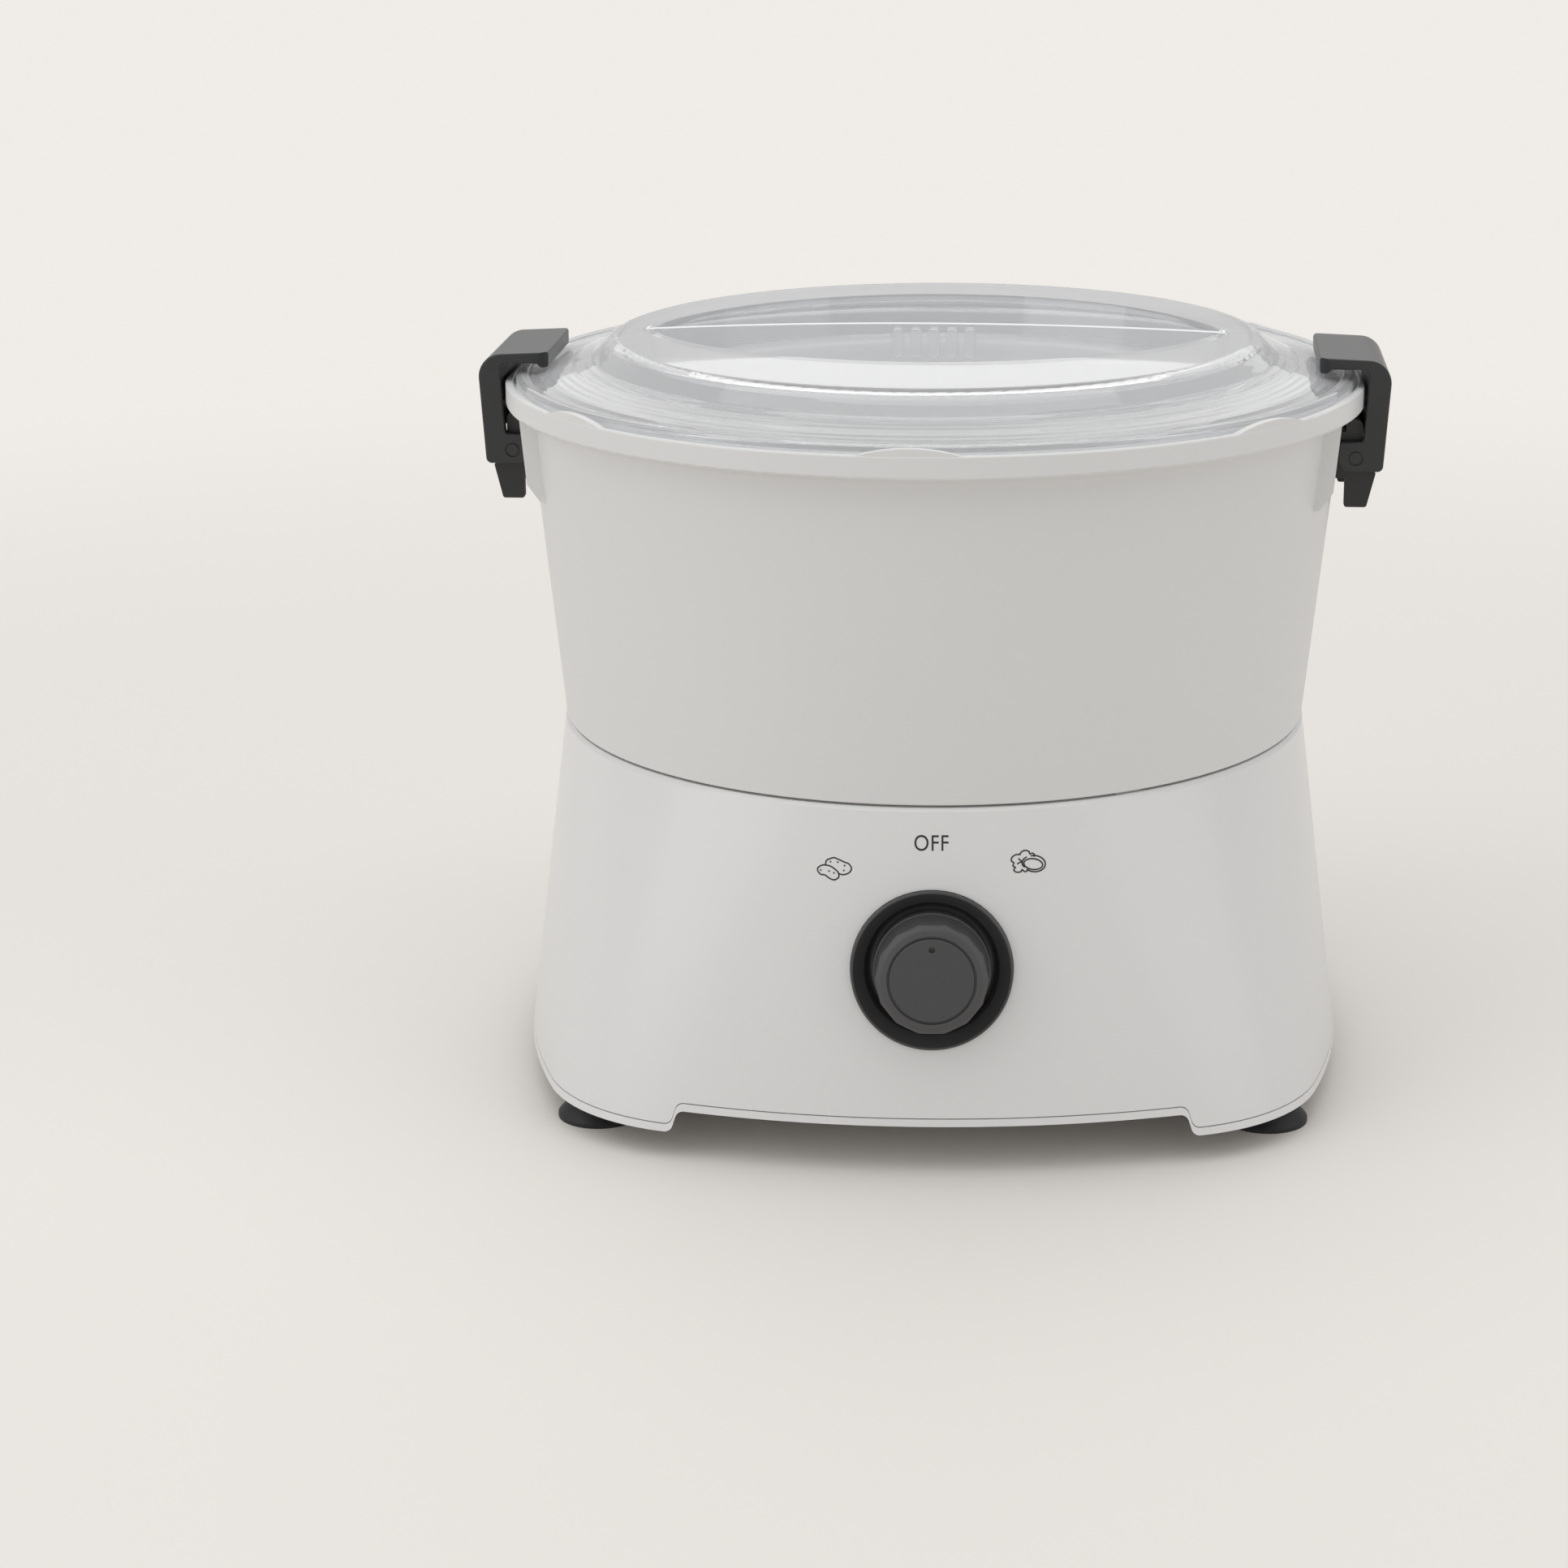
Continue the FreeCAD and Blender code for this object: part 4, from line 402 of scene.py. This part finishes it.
def lay_mark(name, shapes, place, tree):
    points = []
    faces = []
    for corners, loops in shapes:
        offset = len(points)
        points += [on_panel(tree, place[0] + c[0], place[1] + c[1], INK_HEIGHT) for c in corners]
        faces += [tuple(offset + k for k in loop) for loop in loops]
    mesh = bpy.data.meshes.new(name)
    mesh.from_pydata(points, [], faces)
    mesh.update()
    mesh.materials.append(INK)
    mark = bpy.data.objects.new(name, mesh)
    scene.collection.objects.link(mark)
    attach(mark, "base")


def ellipse(x, z, half_x, half_z, tilt, start=0.0, end=360.0, steps=40):
    tilt = math.radians(tilt)
    line = []
    for k in range(steps):
        angle = math.radians(start + (end - start) * k / steps)
        u = half_x * math.cos(angle)
        v = half_z * math.sin(angle)
        line.append(np.array((x + u * math.cos(tilt) - v * math.sin(tilt),
                              z + u * math.sin(tilt) + v * math.cos(tilt))))
    return line


def potato_mark(tree):
    back = [(-2.4, 1.0), (-2.2, 2.0), (-1.4, 2.5), (-0.2, 2.9), (1.1, 2.5), (2.6, 1.9), (3.7, 1.5),
            (4.4, 0.4), (3.9, -0.7), (2.8, -1.3), (1.7, -1.4), (0.9, -1.1)]
    front = [(-2.3, 0.8), (-1.1, 0.6), (0.2, -0.2), (1.0, -1.1), (1.0, -2.2), (0.0, -2.9), (-0.9, -2.8),
             (-1.7, -2.4), (-2.6, -1.8), (-3.7, -1.7), (-4.4, -1.0), (-4.5, -0.2), (-3.9, 0.4),
             (-3.1, 0.8)]
    eyes = [(-1.1, 1.8), (0.8, 1.8), (2.6, 1.0), (2.4, -0.3), (-3.7, -0.6), (-1.5, -0.7), (-0.2, -1.1)]
    shapes = [stroke_shape(smooth_line(back, False), False, STROKE),
              stroke_shape(smooth_line(front, True), True, STROKE)]
    shapes += [dot_shape(x, z, DOT) for x, z in eyes]
    lay_mark("mark_potatoes", shapes, POTATO_PLACE, tree)


def salad_mark(tree):
    leaf = [(-2.0, 2.2), (-3.3, 2.2), (-4.3, 1.5), (-4.4, 0.6), (-3.8, 0.1), (-4.0, -0.7), (-3.4, -1.1),
            (-3.8, -1.8), (-3.0, -2.4), (-1.9, -2.3), (-1.6, -1.8), (-0.8, -2.4), (-0.1, -2.0)]
    crest = [(-2.3, 2.2), (-1.6, 3.0), (-0.6, 3.2), (0.2, 2.8), (0.4, 2.2), (1.1, 2.4), (1.6, 1.9),
             (1.5, 1.4)]
    veins = [[(-1.6, 0.3), (-2.3, 0.9), (-2.6, 1.2)], [(-1.6, 0.3), (-2.5, 0.0), (-2.9, -0.3)],
             [(-1.6, 0.3), (-1.2, 1.0), (-0.4, 1.5)], [(-1.6, 0.3), (-1.5, -0.6), (-0.9, -1.2)]]
    shapes = [stroke_shape(smooth_line(leaf, False), False, STROKE),
              stroke_shape(smooth_line(crest, False), False, STROKE)]
    shapes += [stroke_shape(smooth_line(vein, False), False, STROKE) for vein in veins]
    shapes.append(stroke_shape(ellipse(1.3, -0.5, 2.5, 1.4, -12.0), True, STROKE))
    shapes.append(stroke_shape(ellipse(1.6, -0.4, 2.9, 2.1, -12.0, -125.0, 125.0), False, STROKE))
    lay_mark("mark_salad", shapes, SALAD_PLACE, tree)


# The word is flat text turned into faces.
def off_mark(tree):
    curve = bpy.data.curves.new("letters", "FONT")
    curve.body = "OFF"
    curve.size = 1.0
    curve.space_character = LETTER_SPACING
    letters = bpy.data.objects.new("letters", curve)
    scene.collection.objects.link(letters)
    flat = bpy.data.meshes.new_from_object(letters)
    bpy.data.objects.remove(letters)
    points = np.array([v.co[:2] for v in flat.vertices])
    low = points.min(0)
    high = points.max(0)
    points = (points - (low + high) / 2) * (LETTER_HEIGHT / (high[1] - low[1]))
    points[:, 0] *= LETTER_SQUEEZE
    faces = [tuple(p.vertices) for p in flat.polygons]
    bpy.data.meshes.remove(flat)
    lay_mark("mark_off", [(list(points), faces)], OFF_PLACE, tree)


# Floor, light and camera

# Far from the object an even pale backdrop is seen; near it, the floor with its shadow.
def fade_out(material, colour, near, far):
    nodes = material.node_tree.nodes
    links = material.node_tree.links
    place = nodes.new("ShaderNodeTexCoord")
    reach = nodes.new("ShaderNodeVectorMath")
    reach.operation = "LENGTH"
    links.new(place.outputs["Object"], reach.inputs[0])
    share = nodes.new("ShaderNodeMapRange")
    share.interpolation_type = "SMOOTHSTEP"
    share.inputs["From Min"].default_value = near
    share.inputs["From Max"].default_value = far
    links.new(reach.outputs["Value"], share.inputs["Value"])
    rays = nodes.new("ShaderNodeLightPath")
    mirrored = calculated(nodes, links, "MAXIMUM", rays.outputs["Is Glossy Ray"],
                          rays.outputs["Is Transmission Ray"])
    looked_at = calculated(nodes, links, "MAXIMUM", rays.outputs["Is Camera Ray"], mirrored)
    seen = calculated(nodes, links, "MULTIPLY", looked_at, share.outputs["Result"])
    glow = nodes.new("ShaderNodeEmission")
    glow.inputs["Color"].default_value = colour + (1.0,)
    near_by = nodes["Principled BSDF"].outputs["BSDF"]
    whole = mixed(nodes, links, seen, near_by, glow.outputs["Emission"])
    links.new(whole, nodes["Material Output"].inputs["Surface"])


def make_floor():
    half = FLOOR_HALF
    corners = [(-half, -half, 0), (half, -half, 0), (half, half, 0), (-half, half, 0)]
    mesh = bpy.data.meshes.new("floor")
    mesh.from_pydata(corners, [], [(0, 1, 2, 3)])
    mesh.update()
    pale = surface("floor_finish", FLOOR_COLOUR, 0.6, vary=0.006, patch=1.5, bump=0.0)
    fade_out(pale, BACKDROP_COLOUR, FADE_FROM, FADE_TO)
    mesh.materials.append(pale)
    floor = bpy.data.objects.new("floor", mesh)
    scene.collection.objects.link(floor)


def area_light(name, place, aim, width, height, power):
    light = bpy.data.lights.new(name, "AREA")
    light.shape = "RECTANGLE"
    light.size = width
    light.size_y = height
    light.energy = power
    lamp = bpy.data.objects.new(name, light)
    scene.collection.objects.link(lamp)
    lamp.location = place
    lamp.rotation_euler = (Vector(aim) - Vector(place)).to_track_quat("-Z", "Y").to_euler()


def make_lights():
    world = bpy.data.worlds.new("studio")
    world.use_nodes = True
    sky = world.node_tree.nodes["Background"]
    sky.inputs["Color"].default_value = WORLD_COLOUR
    sky.inputs["Strength"].default_value = WORLD_STRENGTH
    scene.world = world
    for name, place, aim, width, height, power in LAMPS:
        area_light(name, place, aim, width, height, power)


def make_camera():
    yaw = math.radians(CAMERA_YAW)
    pitch = math.radians(CAMERA_PITCH)
    roll = math.radians(CAMERA_ROLL)
    ahead = Vector((math.sin(yaw) * math.cos(pitch), math.cos(yaw) * math.cos(pitch), -math.sin(pitch)))
    level = Vector((math.cos(yaw), -math.sin(yaw), 0))
    above = level.cross(ahead)
    right = level * math.cos(roll) + above * math.sin(roll)
    up = -level * math.sin(roll) + above * math.cos(roll)
    data = bpy.data.cameras.new("camera")
    data.sensor_width = SENSOR_MM
    data.lens = CAMERA_FOCAL_PX / FRAME_PX * SENSOR_MM
    data.clip_start = CLIP_START
    camera = bpy.data.objects.new("camera", data)
    scene.collection.objects.link(camera)
    turn = Matrix((right, up, -ahead)).transposed()
    camera.matrix_world = Matrix.Translation(CAMERA_PLACE) @ turn.to_4x4()
    scene.camera = camera


dress_nodes()
panel = housing_tree()
off_mark(panel)
potato_mark(panel)
salad_mark(panel)
make_floor()
make_lights()
make_camera()
scene.view_settings.view_transform = "Standard"
